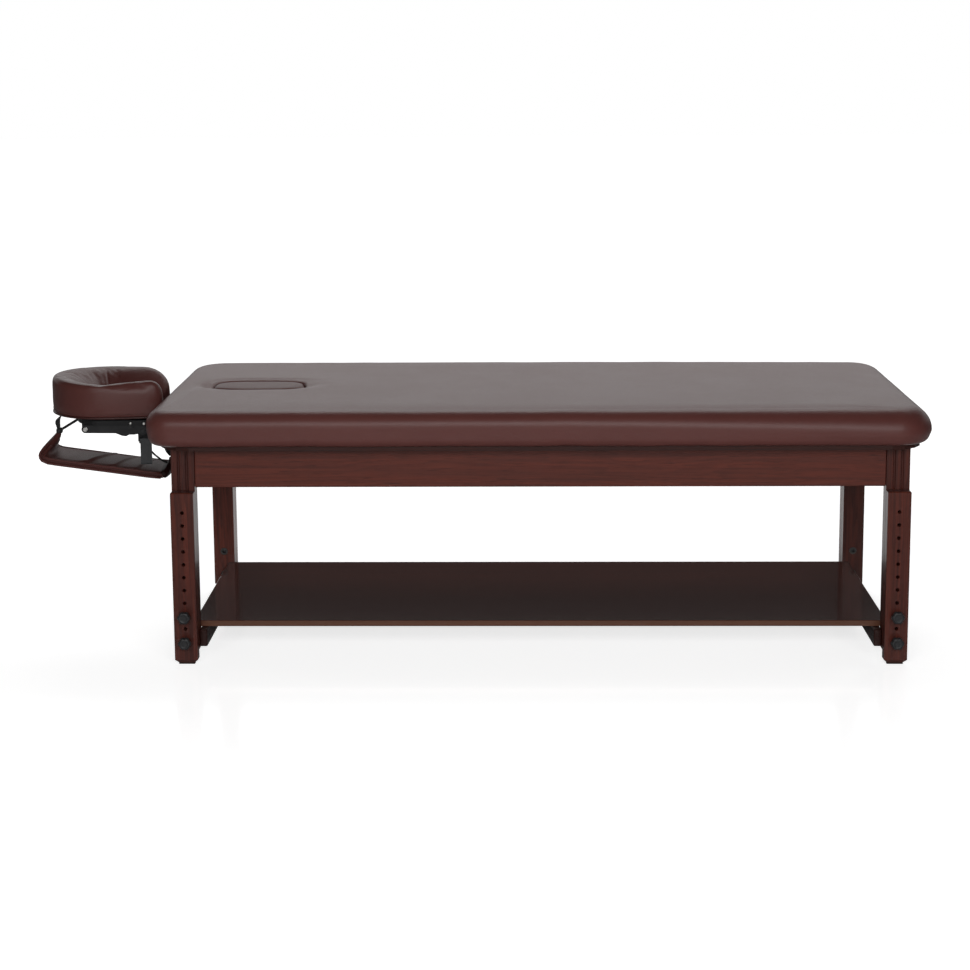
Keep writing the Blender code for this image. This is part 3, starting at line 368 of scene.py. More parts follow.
def new_material(name, metallic=0.0, specular=0.5):
    """A material, its wiring, its Principled shader and Object coordinates."""
    material = bpy.data.materials.new(name)
    material.use_nodes = True
    wiring = Wiring(material.node_tree)
    shader = material.node_tree.nodes["Principled BSDF"]
    shader.inputs["Metallic"].default_value = metallic
    shader.inputs["Specular IOR Level"].default_value = specular
    place = wiring.add("ShaderNodeTexCoord").outputs["Object"]
    return material, wiring, shader, place


def shade(rgb, factor):
    return (min(rgb[0] * factor, 1.0), min(rgb[1] * factor, 1.0), min(rgb[2] * factor, 1.0), 1.0)


def vinyl_material(name, tone=1.0, rough=0.0, specular=0.24):
    """Grained brown vinyl with faint patches, and painted shade in the grain's creases."""
    found = bpy.data.materials.get(name)
    if found:
        return found
    look = bpy.context.scene.table_upholstery
    material, w, shader, place = new_material(name, specular=specular)
    base = tuple(look.vinyl)
    grain = w.group(groups()["pebble"], Vector=place, Size=look.pebble)
    patch = w.group(groups()["mottle"], Vector=place, Scale=5.0)["Patch"]
    body = w.blend(patch, shade(base, 0.965 * tone), shade(base, 1.035 * tone))
    # painted shade: the creases between the pebbles are darkened
    crease_shade = w.times(grain["Crease"], 0.30)
    w.put(shader.inputs["Base Color"], w.blend(crease_shade, body, shade(base, 0.62 * tone)))
    dull = look.vinyl_roughness + rough
    w.put(shader.inputs["Roughness"], w.span(patch, 0.0, 1.0, dull - 0.012, dull + 0.012))
    w.put(shader.inputs["Normal"], w.bump(grain["Height"], 0.22, 0.00035))
    return material


def wood_material(name, turn, tone=1.0, rings=0.34, streaks=0.55):
    """Lacquered mahogany stain; turn lays the grain along the board, rings and streaks its contrast."""
    found = bpy.data.materials.get(name)
    if found:
        return found
    look = bpy.context.scene.table_wood
    material, w, shader, place = new_material(name, specular=0.16)
    laid = w.stretch(place, turn=turn)
    figure = w.group(groups()["wood"], Vector=laid, Ring_Pitch=look.ring_pitch)
    patch = w.group(groups()["mottle"], Vector=place, Scale=4.0)["Patch"]
    body = w.blend(w.times(figure["Ring"], rings), shade(look.stain, 1.12 * tone),
                   shade(look.stain_dark, 1.25 * tone))
    body = w.blend(w.times(figure["Streak"], streaks), body, shade(look.stain_dark, tone))
    body = w.blend(w.times(patch, 0.20), body, shade(look.stain, 1.35 * tone))
    body = w.blend(w.times(figure["Pore"], 0.65), body, shade(look.stain_dark, 0.45))
    w.put(shader.inputs["Base Color"], body)
    w.put(shader.inputs["Roughness"], w.span(figure["Streak"], 0.0, 1.0, 0.34, 0.46))
    w.put(shader.inputs["Normal"], w.bump(figure["Height"], 0.12, GRAIN_DEPTH))
    shader.inputs["Coat Weight"].default_value = 0.14
    shader.inputs["Coat Roughness"].default_value = 0.14
    return material


def shelf_material():
    """Dark gloss lacquer on the board's faces, with lighter veneer layers on its edges."""
    look = bpy.context.scene.table_wood
    material, w, shader, place = new_material("shelf_lacquer", specular=0.35)
    figure = w.group(groups()["wood"], Vector=place, Ring_Pitch=look.ring_pitch * 2.2)
    top = w.blend(w.times(figure["Ring"], 0.5), shade(look.shelf, 1.12),
                  shade(look.shelf, 0.62))
    top = w.blend(w.times(figure["Streak"], 0.35), top, shade(look.shelf, 0.6))
    parts = w.split(place)
    middle = (SHELF_LOW.z + SHELF_HIGH.z) / 2
    half = (SHELF_HIGH.z - SHELF_LOW.z) / 2
    off = w.maths("ABSOLUTE", w.maths("SUBTRACT", parts[2], middle))
    edge = w.span(off, half - 0.0004, half - 0.0012)
    layer = w.maths("SINE", w.times(parts[2], 2 * math.pi / (half * 2 / 5)))
    side = w.blend(w.span(layer, -0.4, 0.4), shade(look.shelf_edge, 0.62), shade(look.shelf_edge, 1.1))
    side = w.blend(w.times(figure["Streak"], 0.4), side, shade(look.shelf_edge, 0.5))
    w.put(shader.inputs["Base Color"], w.blend(edge, top, side))
    w.put(shader.inputs["Roughness"], w.span(edge, 0.0, 1.0, 0.16, 0.45))
    w.put(shader.inputs["Normal"], w.bump(figure["Height"], 0.05, GRAIN_DEPTH))
    shader.inputs["Coat Weight"].default_value = 0.35
    shader.inputs["Coat Roughness"].default_value = 0.04
    return material


def plywood_material():
    """Bare sanded plywood of the deck, the cross rails and the guide block."""
    look = bpy.context.scene.table_wood
    material, w, shader, place = new_material("bare_plywood")
    figure = w.group(groups()["wood"], Vector=place, Ring_Pitch=look.ring_pitch * 1.8)
    body = w.blend(w.times(figure["Ring"], 0.5), shade(look.plywood, 1.05),
                   shade(look.plywood, 0.72))
    body = w.blend(w.times(figure["Pore"], 0.5), body, shade(look.plywood, 0.45))
    w.put(shader.inputs["Base Color"], body)
    w.put(shader.inputs["Roughness"], w.span(figure["Streak"], 0.0, 1.0, 0.6, 0.75))
    w.put(shader.inputs["Normal"], w.bump(figure["Height"], 0.2, GRAIN_DEPTH))
    return material


def speckled_material(name, rgb, rough, metallic=0.0, scale=900.0, strength=0.12, wear=0.35,
                      specular=0.3):
    """Moulded plastic, powder coat, rubber or plated metal with fine texture."""
    material, w, shader, place = new_material(name, metallic, specular)
    texture = w.group(groups()["speckle"], Vector=place, Scale=scale)
    w.put(shader.inputs["Base Color"], w.blend(w.times(texture["Patch"], wear),
                                               shade(rgb, 0.9), shade(rgb, 1.5)))
    w.put(shader.inputs["Roughness"], w.span(texture["Patch"], 0.0, 1.0, rough - 0.05, rough + 0.07))
    w.put(shader.inputs["Normal"], w.bump(texture["Height"], strength, GRAIN_DEPTH))
    return material


def webbing_material(name, rgb, thread):
    """Woven strap or hook strip."""
    material, w, shader, place = new_material(name)
    weave = w.group(groups()["weave"], Vector=place, Thread=thread)
    patch = w.group(groups()["mottle"], Vector=place, Scale=40.0)["Patch"]
    body = w.blend(w.times(patch, 0.4), shade(rgb, 1.0), shade(rgb, 1.8))
    # painted shade: the gaps between the threads are darkened
    w.put(shader.inputs["Base Color"], w.blend(weave["Gap"], body, shade(rgb, 0.35)))
    w.put(shader.inputs["Roughness"], w.span(patch, 0.0, 1.0, 0.72, 0.86))
    w.put(shader.inputs["Normal"], w.bump(weave["Height"], 0.6, 0.0005))
    return material


# ---------------------------------------------------------------- mesh helpers

def smooth_path(points, count, closed=False):
    """Evenly spaced points on a smooth curve through the given ones."""
    pts = np.array(points, float)
    n = len(pts)
    dense = []
    spans = n if closed else n - 1
    for i in range(spans):
        if closed:
            p0, p1, p2, p3 = (pts[(i + k) % n] for k in (-1, 0, 1, 2))
        else:
            p0, p1, p2, p3 = (pts[min(max(i + k, 0), n - 1)] for k in (-1, 0, 1, 2))
        t = np.linspace(0, 1, 24, endpoint=False)[:, None]
        dense.append(0.5 * (2 * p1 + (p2 - p0) * t + (2 * p0 - 5 * p1 + 4 * p2 - p3) * t ** 2
                            + (3 * p1 - p0 - 3 * p2 + p3) * t ** 3))
    dense.append(pts[:1] if closed else pts[-1:])
    dense = np.vstack(dense)
    steps = np.concatenate([[0], np.cumsum(np.linalg.norm(np.diff(dense, axis=0), axis=1))])
    marks = np.linspace(0, steps[-1], count + 1)[:-1] if closed else np.linspace(0, steps[-1], count)
    return np.stack([np.interp(marks, steps, dense[:, k]) for k in range(dense.shape[1])], axis=1)


def new_object(name, verts, faces, material, smooth=True):
    """An object at the origin from points in the frame, with its faces turned outwards."""
    mesh = bpy.data.meshes.new(name)
    mesh.from_pydata([tuple(map(float, v)) for v in verts], [], faces)
    bm = bmesh.new()
    bm.from_mesh(mesh)
    bmesh.ops.remove_doubles(bm, verts=bm.verts, dist=1e-6)
    bmesh.ops.recalc_face_normals(bm, faces=bm.faces)
    bm.to_mesh(mesh)
    bm.free()
    if smooth:
        mesh.shade_smooth()
    mesh.materials.append(material)
    obj = bpy.data.objects.new(name, mesh)
    bpy.context.scene.collection.objects.link(obj)
    return obj


def loft_faces(rings, count, loop):
    faces = []
    for i in range(rings if loop else rings - 1):
        low, high = i * count, ((i + 1) % rings) * count
        for j in range(count):
            k = (j + 1) % count
            faces.append((low + j, low + k, high + k, high + j))
    if not loop:
        faces.append(tuple(range(count - 1, -1, -1)))
        faces.append(tuple(range((rings - 1) * count, rings * count)))
    return faces


def loft(name, rings, material, loop=False):
    """Skins rings of equal length; a loft that isn't a loop has its ends closed."""
    rings = np.array(rings, float)
    faces = loft_faces(len(rings), rings.shape[1], loop)
    return new_object(name, rings.reshape(-1, 3), faces, material)


def tube(name, path, radius, material, closed=False, sides=10):
    """A round cord laid along a path, such as piping or a welt."""
    path = np.array(path, float)
    if closed:
        ahead = np.roll(path, -1, axis=0) - np.roll(path, 1, axis=0)
    else:
        ahead = np.gradient(path, axis=0)
    ahead /= np.linalg.norm(ahead, axis=1)[:, None]
    up = np.array([0.0, 0.0, 1.0])
    rings = []
    for p, a in zip(path, ahead):
        side = np.cross(a, up)
        if np.linalg.norm(side) < 1e-3:
            side = np.array([0.0, 1.0, 0.0])
        side /= np.linalg.norm(side)
        top = np.cross(side, a)
        turn = 2 * np.pi * np.arange(sides) / sides
        rings.append(p + radius * (np.cos(turn)[:, None] * side + np.sin(turn)[:, None] * top))
    return loft(name, rings, material, loop=closed)


def triples(items, key):
    """One triple of numbers for each item of a mesh, such as its vertices."""
    flat = np.empty(len(items) * 3)
    items.foreach_get(key, flat)
    return flat.reshape(-1, 3)


def mesh_points(mesh):
    return triples(mesh.vertices, "co")


def mesh_normals(mesh):
    return triples(mesh.vertex_normals, "vector")


def move_points(mesh, points):
    mesh.vertices.foreach_set("co", points.ravel())
    mesh.update()


def evaluated_mesh(obj):
    return bpy.data.meshes.new_from_object(obj.evaluated_get(bpy.context.evaluated_depsgraph_get()))


SWELL_FRAMES, SWELL_PRESSURE = 20, 4.0


def swell(obj, voxel, held, slack=0.0015, cap=0.006):
    """Swells a padded piece with a short cloth simulation and keeps the settled cover.

    The evened mesh starts smaller by the slack; held picks the points that are sewn or glued down,
    and no other point moves further than the cap.
    """
    scene = bpy.context.scene
    even = obj.modifiers.new("even_mesh", "REMESH")
    even.mode, even.voxel_size, even.use_smooth_shade = "VOXEL", voxel, True
    ease = obj.modifiers.new("ease", "SMOOTH")
    ease.factor, ease.iterations = 0.5, 3
    cover = evaluated_mesh(obj)
    obj.modifiers.clear()
    start = mesh_points(cover) - mesh_normals(cover) * slack
    cover.vertices.foreach_set("co", start.ravel())
    work = bpy.data.objects.new(obj.name + "_cover", cover)
    scene.collection.objects.link(work)
    group = work.vertex_groups.new(name="held")
    group.add(np.nonzero(held(start))[0].tolist(), 1.0, "REPLACE")
    cloth = work.modifiers.new("cover", "CLOTH")
    cloth.settings.vertex_group_mass = "held"
    cloth.settings.quality = 6
    cloth.settings.use_pressure = True
    cloth.settings.uniform_pressure_force = SWELL_PRESSURE
    cloth.settings.effector_weights.gravity = 0.0
    cloth.point_cache.frame_start, cloth.point_cache.frame_end = 1, SWELL_FRAMES
    for step in range(1, SWELL_FRAMES + 1):
        scene.frame_set(step)
    move = mesh_points(evaluated_mesh(work)) - start
    size = np.linalg.norm(move, axis=1)
    start += move * np.minimum(1.0, cap / np.maximum(size, 1e-9))[:, None]
    work.modifiers.clear()
    scene.frame_set(1)
    move_points(cover, start)
    finer = work.modifiers.new("finer", "SUBSURF")
    finer.levels = finer.render_levels = 1
    result = evaluated_mesh(work)
    bpy.data.objects.remove(work, do_unlink=True)
    result.materials.clear()
    result.materials.append(obj.data.materials[0])
    result.shade_smooth()
    obj.data = result


def wobble(x, y, z, scale):
    return noise.noise(Vector((x * scale, y * scale, z * scale)))


def dress(obj, body, slot, *nodes):
    """Puts a finished piece on its body and hides the solids that it stands for."""
    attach(obj, body)
    if nodes:
        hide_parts(*nodes)


# ---------------------------------------------------------------- padded top and plug

CORNER_STEPS, LONG_STEPS, END_STEPS = 14, 110, 18
PAD_FOOT_GAP = 0.003  # how far the pad ends before its solid at the foot
PAD_CROWN = 0.004  # rise of the top's middle over its edge
PAD_FOOT_START, PAD_FOOT_ROLL = 0.25, 0.022  # where the roll starts to grow, and by how much
PAD_ROLL_RISE = 0.94  # height of the roll for its depth
PAD_SIDE_LIFT, PAD_SIDE_INSET = 0.016, 0.0038  # foot of the bulged side
# Inset and lift of the cover where it is pulled over the edge of the deck
PAD_UNDERSIDE = ((0.050, 0.0), (0.0257, 0.0), (0.0257, -0.0012), (0.0240, -0.0015), (0.0205, -0.0011),
                 (0.0160, 0.0004), (0.0122, 0.0026), (0.0092, 0.0054), (0.0068, 0.0088), (0.0050, 0.0124),
                 (PAD_SIDE_INSET, PAD_SIDE_LIFT))
# Shares of the way from the pad's edge to the hole, closer together near both
PAD_SHARES = (*np.linspace(0.02, 0.16, 6), *np.linspace(0.22, 0.80, 10), *np.linspace(0.84, 1.0, 9))
HOLE_GAP, HOLE_SQUARENESS = 0.0015, 3.0
CROWN_REACH, RIM_SINK, RIM_REACH = 0.070, 0.0032, 0.022  # falls of the top near its edge and the hole
PULL_DEPTH, PULL_HEIGHT = 0.0011, 0.024  # puckers along the pad's lower edge
DIMPLES = ((-1, 0.0062), (1, 0.0044))  # end of the hole and depth of its dimple
DIMPLE_PAST, DIMPLE_Y, DIMPLE_LONG, DIMPLE_WIDE = 0.013, -0.010, 0.015, 0.026
PLUG_POINTS, PLUG_FIT = 160, 0.0016
PLUG_EDGE, PLUG_SHOULDER, PLUG_RISE = 0.013, 0.0165, 0.0155  # rounding of the plug's upper edge
PLUG_WAVE = 0.0007


def pad_side(sign, foot, head):
    """One long half of the top's outline with its two corner radii, and the way inwards."""
    x0, x1 = PAD_LOW.x, PAD_HIGH.x - PAD_FOOT_GAP
    half = PAD_HIGH.y
    turns = np.radians(np.linspace(0, 90, CORNER_STEPS + 1))
    rows = [(x1, y, -1.0, 0.0) for y in np.linspace(0, half - foot, END_STEPS, endpoint=False)]
    rows += [(x1 - foot + foot * math.cos(a), half - foot + foot * math.sin(a), -math.cos(a), -math.sin(a))
             for a in turns]
    rows += [(x, half, 0.0, -1.0) for x in np.linspace(x1 - foot, x0 + head, LONG_STEPS + 1)[1:-1]]
    rows += [(x0 + head - head * math.sin(a), half - head + head * math.cos(a), math.sin(a), -math.cos(a))
             for a in turns]
    rows += [(x0, y, 1.0, 0.0) for y in np.linspace(0, half - head, END_STEPS, endpoint=False)[::-1]]
    return np.array(rows) * (1, sign, 1, sign)


def pad_outline(corner, front_corner):
    """Outline of the top from the middle of the foot end; the front head corner is the tightest."""
    rear, front = pad_side(1, corner, corner), pad_side(-1, corner, front_corner)
    rows = np.vstack([rear, front[-2:0:-1]])
    return rows[:, :2], rows[:, 2:]


def hole_outline(extra, count):
    """Squarish oval of the face hole, from its foot side, counter-clockwise."""
    a = (PLUG_HIGH.x - PLUG_LOW.x) / 2 + HOLE_GAP + extra
    b = PLUG_HIGH.y + HOLE_GAP + extra
    turn = 2 * np.pi * np.arange(count) / count
    c, s = np.cos(turn), np.sin(turn)
    power = 2 / HOLE_SQUARENESS
    return np.stack([HOLE_X + a * np.sign(c) * np.abs(c) ** power,
                     b * np.sign(s) * np.abs(s) ** power], axis=1)


class TABLE_OT_padded_top(bpy.types.Operator):
    """Builds the padded vinyl top with its rolled edges and the rim of the face hole"""
    bl_idname = "massage_table.padded_top"
    bl_label = "Padded Top"

    def execute(self, context):
        look = context.scene.table_upholstery
        low, high = PAD_LOW.z, PAD_HIGH.z
        outline, inward = pad_outline(look.pad_corner, look.pad_front_corner)
        # The upper edge rolls more toward the foot end
        share = np.clip((outline[:, 0] - PAD_FOOT_START) / (PAD_HIGH.x - PAD_FOOT_START), 0, 1)
        roll = look.pad_roll + PAD_FOOT_ROLL * share ** 1.3
        rings = []

        def ring(inset, z):
            xy = outline + inward * (np.zeros(len(outline)) + inset)[:, None]
            rings.append(np.column_stack([xy, np.zeros(len(xy)) + z]))

        # Cover pulled over the edge of the deck, bulged side and rolled upper edge
        for inset, lift in PAD_UNDERSIDE:
            ring(inset, low + lift)
        side_low, side_top = low + PAD_SIDE_LIFT, high - PAD_CROWN - roll * PAD_ROLL_RISE
        for part in np.linspace(0.2, 1.0, 5):
            bulge = PAD_SIDE_INSET * (1 - math.sin(part * math.pi / 2))
            ring(bulge, side_low + (side_top - side_low) * part)
        for turn in np.linspace(8, 90, 13):
            a = math.radians(turn)
            ring(roll * (1 - math.cos(a)), side_top + roll * PAD_ROLL_RISE * math.sin(a))
        outer_count = len(rings)
        # Crowned top down to the rolled rim of the hole
        edge = rings[-1][:, :2]
        rim = look.hole_rim
        hole = hole_outline(rim, len(edge))
        for part in PAD_SHARES:
            xy = edge + (hole - edge) * part
            gap = np.linalg.norm(xy - hole, axis=1)
            near = np.linalg.norm(xy - edge, axis=1)
            z = high - PAD_CROWN * np.exp(-(near / CROWN_REACH) ** 1.4)
            z = z - RIM_SINK * np.exp(-(gap / RIM_REACH) ** 2)
            rings.append(np.column_stack([xy, z]))
        start = rings[-1][:, 2]
        for turn in np.linspace(15, 90, 6):
            a = math.radians(turn)
            xy = hole_outline(rim * (1 - math.sin(a)), len(edge))
            rings.append(np.column_stack([xy, start - rim * (1 - math.cos(a))]))
        wall = hole_outline(0.0, len(edge))
        for z in (high - 0.034, low + 0.010, low):
            rings.append(np.column_stack([wall, np.full(len(wall), z)]))
        rings = np.array(rings)
        # Slight waves of the cover, and dimples where the hole's rim is pulled at both ends
        for i in range(4, outer_count):
            for j, (x, y, z) in enumerate(rings[i]):
                lift = look.pad_wave * wobble(x, y, 0.0, 11.0)
                fade = min(1.0, max(0.0, 1 - (z - low) / PULL_HEIGHT))
                pull = PULL_DEPTH * wobble(x, y, 3.0, 23.0) * fade
                rings[i, j, 2] += lift + pull
        reach = (PLUG_HIGH.x - PLUG_LOW.x) / 2 + DIMPLE_PAST
        for side, depth in DIMPLES:
            dx = (rings[outer_count:-3, :, 0] - HOLE_X - side * reach) / DIMPLE_LONG
            dy = (rings[outer_count:-3, :, 1] - DIMPLE_Y) / DIMPLE_WIDE
            rings[outer_count:-3, :, 2] -= depth * np.exp(-dx ** 2 - dy ** 2)
        pad = loft("padded_top", rings, vinyl_material("brown_vinyl_top"), loop=True)
        dress(pad, "table", "brown_vinyl", "top_cushion")
        return {"FINISHED"}


class TABLE_OT_hole_plug(bpy.types.Operator):
    """Builds the padded plug that fills the face hole"""
    bl_idname = "massage_table.hole_plug"
    bl_label = "Face Hole Plug"

    def execute(self, context):
        low, high = PLUG_LOW.z, PLUG_HIGH.z
        rings = []

        def ring(inset, z):
            xy = hole_outline(-PLUG_FIT - inset, PLUG_POINTS)
            rings.append(np.column_stack([xy, np.full(PLUG_POINTS, z)]))

        for inset, z in ((0.030, low), (0.008, low), (0.003, low + 0.0015), (0.0008, low + 0.006),
                         (0.0, low + 0.014), (0.0, high - 0.022)):
            ring(inset, z)
        for turn in np.linspace(10, 90, 9):
            a = math.radians(turn)
            ring(PLUG_EDGE * (1 - math.cos(a)), high - PLUG_SHOULDER + PLUG_RISE * math.sin(a))
        for inset, drop in ((0.020, 0.0003), (0.030, 0.0), (0.042, 0.0), (0.052, 0.0)):
            ring(inset, high - drop)
        rings = np.array(rings)
        for j in range(PLUG_POINTS):
            x, y = rings[9, j, :2]
            rings[6:12, j, 2] += PLUG_WAVE * wobble(x, y, 7.0, 34.0)
        plug = loft("padded_plug", rings,
                    vinyl_material("brown_vinyl_plug", tone=0.90, rough=0.05, specular=0.14))
        dress(plug, "face_plug", "brown_vinyl", "face_hole_plug")
        return {"FINISHED"}


# ---------------------------------------------------------------- face cushion

# Cross sections of the closed end and of the arms: share of the half width outwards, share of the height
CUSHION_SECTION = ((0.70, 0.0), (0.88, 0.012), (0.97, 0.07), (1.01, 0.24), (1.02, 0.50), (1.015, 0.76),
                   (0.97, 0.925), (0.84, 0.995), (0.62, 1.0), (0.38, 0.965), (0.12, 0.905), (-0.20, 0.83),
                   (-0.52, 0.745), (-0.80, 0.63), (-0.95, 0.46), (-0.98, 0.26), (-0.94, 0.10),
                   (-0.84, 0.02), (-0.66, 0.0), (0.0, 0.0))
ARM_SECTION = ((0.70, 0.0), (0.86, 0.015), (0.95, 0.08), (0.99, 0.24), (1.0, 0.50), (0.985, 0.74),
               (0.94, 0.90), (0.84, 0.98), (0.66, 1.0), (0.44, 0.975), (0.20, 0.905), (-0.05, 0.81),
               (-0.30, 0.70), (-0.54, 0.57), (-0.75, 0.43), (-0.89, 0.28), (-0.93, 0.12),
               (-0.85, 0.02), (-0.66, 0.0), (0.0, 0.0))
# Front and rear arm: how far the end lies beyond the solid's, length of its rounding, share of the height
# and of the width that is left at the tip, height share where the arm starts and its rise from there
CUSHION_ENDS = ((0.010, 0.030, 0.55, 0.55, 0.965, 0.080), (-0.010, 0.072, 0.38, 0.42, 1.0, -0.03))
CUSHION_INWARD, CUSHION_CROWN = 0.020, 1.035
# Middle of the closed end's bend and the radius of the roll's centre line there
CUSHION_X, CUSHION_RADIUS = CUSHION_LOW.x + CUSHION_HIGH.y, CUSHION_HIGH.y - 0.050


def cushion_stations():
    """Centre line of the horseshoe from the front arm on: (x, y, outward x, outward y, wide, tall)."""
    radius, ring_x = CUSHION_RADIUS, CUSHION_X
    arms = []
    for sign, (past, rounding, low, narrow, start, climb) in zip((-1, 1), CUSHION_ENDS):
        end = CUSHION_HIGH.x + past
        shares = [(rounding * (1 - math.cos(u)), math.sin(u)) for u in np.linspace(0, math.pi / 2, 12)]
        shares += [(rounding + (end - rounding - ring_x) * part, 1.0) for part in np.linspace(0.15, 0.92, 8)]
        arm = []
        for back, rise in shares:
            along = (end - back - ring_x) / (end - ring_x)
            y = sign * (radius - CUSHION_INWARD * along ** 1.5)
            lean = 1.5 * CUSHION_INWARD * along ** 0.5 / (end - ring_x)
            size = math.hypot(1.0, lean)
            arm.append((end - back, y, lean / size, sign / size, narrow + (1 - narrow) * rise,
                        (low + (1 - low) * rise) * (start + climb * along)))
        arms.append(arm)
    bend = []
    for turn in np.radians(np.linspace(-90, -270, 61)):
        nx, ny = math.cos(turn), math.sin(turn)
        start = CUSHION_ENDS[0 if ny < 0 else 1][4]
        tall = start + (CUSHION_CROWN - start) * nx * nx
        bend.append((ring_x + radius * nx, radius * ny, nx, ny, 1.0, tall))
    return arms[0] + bend + arms[1][::-1]


def cushion_line(half, share, lift, skip, count):
    """A line round the outside of the cushion at a share of its half width, short of both ends."""
    path = []
    for x, y, nx, ny, wide, _ in cushion_stations()[skip:-skip]:
        out = half * wide * share
        path.append((x + nx * out, y + ny * out, CUSHION_LOW.z + lift))
    return smooth_path(path, count)


CUSHION_UNEVEN, CUSHION_GLUED, CUSHION_VOXEL = 0.0012, 0.012, 0.005
WELT_RADIUS = 0.0028
# Creases of the inner wall: turn from the middle of the closed end, half width in degrees, depth share
CREASES = ((72, 2.2, 1.0), (58, 5.0, -0.35), (24, 7.0, 0.4), (-14, 8.0, 0.45), (-46, 6.0, 0.5))


class TABLE_OT_face_cushion(bpy.types.Operator):
    """Builds the horseshoe face cushion with its pleats and lower welt"""
    bl_idname = "massage_table.face_cushion"
    bl_label = "Face Cushion"

    def execute(self, context):
        look = context.scene.table_upholstery
        half = look.cushion_tube
        tall = CUSHION_HIGH.z - CUSHION_LOW.z
        round_section = smooth_path(CUSHION_SECTION, 72, closed=True)
        arm_section = smooth_path(ARM_SECTION, 72, closed=True)
        rings = []
        run = 0.0
        last = None
        for x, y, nx, ny, wide, high in cushion_stations():
            if last is not None:
                run += math.hypot(x - last[0], y - last[1])
            last = (x, y)
            bend = max(0.0, -nx)
            section = arm_section + (round_section - arm_section) * bend ** 0.7
            across = section[:, 0] * half * wide
            up = section[:, 1] * tall * high
            soft = np.array([wobble(run * 9, a * 30, b * 30, 1.0) for a, b in zip(across, up)])
            across = across + CUSHION_UNEVEN * soft
            rings.append(np.column_stack([x + nx * across, y + ny * across, CUSHION_LOW.z + up]))
        cushion = loft("face_cushion_cover", rings, vinyl_material("brown_vinyl_face", tone=0.86))
        swell(cushion, CUSHION_VOXEL, lambda p: p[:, 2] < CUSHION_LOW.z + CUSHION_GLUED)
        self.crease(cushion.data, half, tall, look.pleat_depth)
        dress(cushion, "cradle_platform_body", "brown_vinyl", "face_cushion")
        # Welt around the lower edge
        line = cushion_line(half, share=0.955, lift=0.0065, skip=8, count=170)
        welt = tube("face_cushion_welt", line, WELT_RADIUS, vinyl_material("brown_vinyl_piping", tone=0.42))
        dress(welt, "cradle_platform_body", "brown_vinyl")
        return {"FINISHED"}

    def crease(self, mesh, half, tall, depth):
        """Presses the creases into the inner wall of the bend, after the cover has settled."""
        points = mesh_points(mesh)
        out = points[:, :2] - np.array([CUSHION_X, 0.0])
        reach = np.linalg.norm(out, axis=1)
        turn = np.degrees(np.arctan2(out[:, 1], -out[:, 0]))
        line = sum(d * np.exp(-((turn - t) / h) ** 2) for t, h, d in CREASES)
        across = (reach - CUSHION_RADIUS) / half
        raised = np.clip((points[:, 2] - CUSHION_LOW.z) / tall * 1.6, 0, 1)
        inner = np.clip((0.45 - across) / 0.6, 0, 1) * raised
        press = np.where(out[:, 0] < 0.0, inner * line * depth, 0.0)
        points[:, :2] += out / np.maximum(reach, 1e-9)[:, None] * (1.2 * press)[:, None]
        points[:, 2] -= press
        move_points(mesh, points)


# ---------------------------------------------------------------- arm sling

def sling_route():
    """Side view of the sling: (x, z, width share, thickness share) from the far neck on."""
    left = SLING_LOW.x + 0.0105
    right = SLING_HIGH.x
    top = SLING_HIGH.z
    high = top - 0.0595
    low = high - 0.0395
    points = [(left + 0.0380, top + 0.0045, 0.06, 0.22), (left + 0.0370, top - 0.001, 0.11, 0.48),
              (left + 0.0335, top - 0.010, 0.20, 0.62),
              (left + 0.0265, top - 0.020, 0.40, 0.78), (left + 0.0160, top - 0.032, 0.70, 0.88),
              (left + 0.0080, top - 0.044, 0.92, 0.94), (left + 0.0085, top - 0.054, 0.98, 0.98),
              (left + 0.0180, high - 0.0012, 1.0, 1.0), (left + 0.036, high - 0.0050, 1.0, 1.0)]
    for part in (0.2, 0.4, 0.6, 0.8):
        x = left + 0.036 + (right - 0.036 - left - 0.036) * part
        points.append((x, high - 0.005 + (low - high + 0.0045) * part, 1.0, 1.0))
    points += [(right - 0.032, low - 0.0004, 1.0, 1.0), (right - 0.020, low + 0.0016, 1.0, 0.98),
               (right - 0.0115, low + 0.0080, 0.94, 0.86), (right - 0.0070, low + 0.0165, 0.74, 0.70),
               (right - 0.0060, low + 0.0250, 0.48, 0.52), (right - 0.0068, low + 0.0335, 0.30, 0.40)]
    return points


# Pleats across the sling: x at its front edge, x at its rear edge, height share
SLING_CREASES = ((-0.962, -0.905, 1.0), (-0.893, -0.853, 0.7), (-0.838, -0.806, 0.6))


SLING_POINTS, SLING_VOXEL, SLING_CAP, SLING_HEM = 72, 0.0045, 0.004, 0.010
SLING_FOLD, SLING_END, SLEEVE_GROWTH = 0.0030, 0.022, 0.035
PLEAT_RISE, PLEAT_RUN, PLEAT_DROP, PLEAT_EDGE = 0.0060, 0.050, 0.0014, 0.012


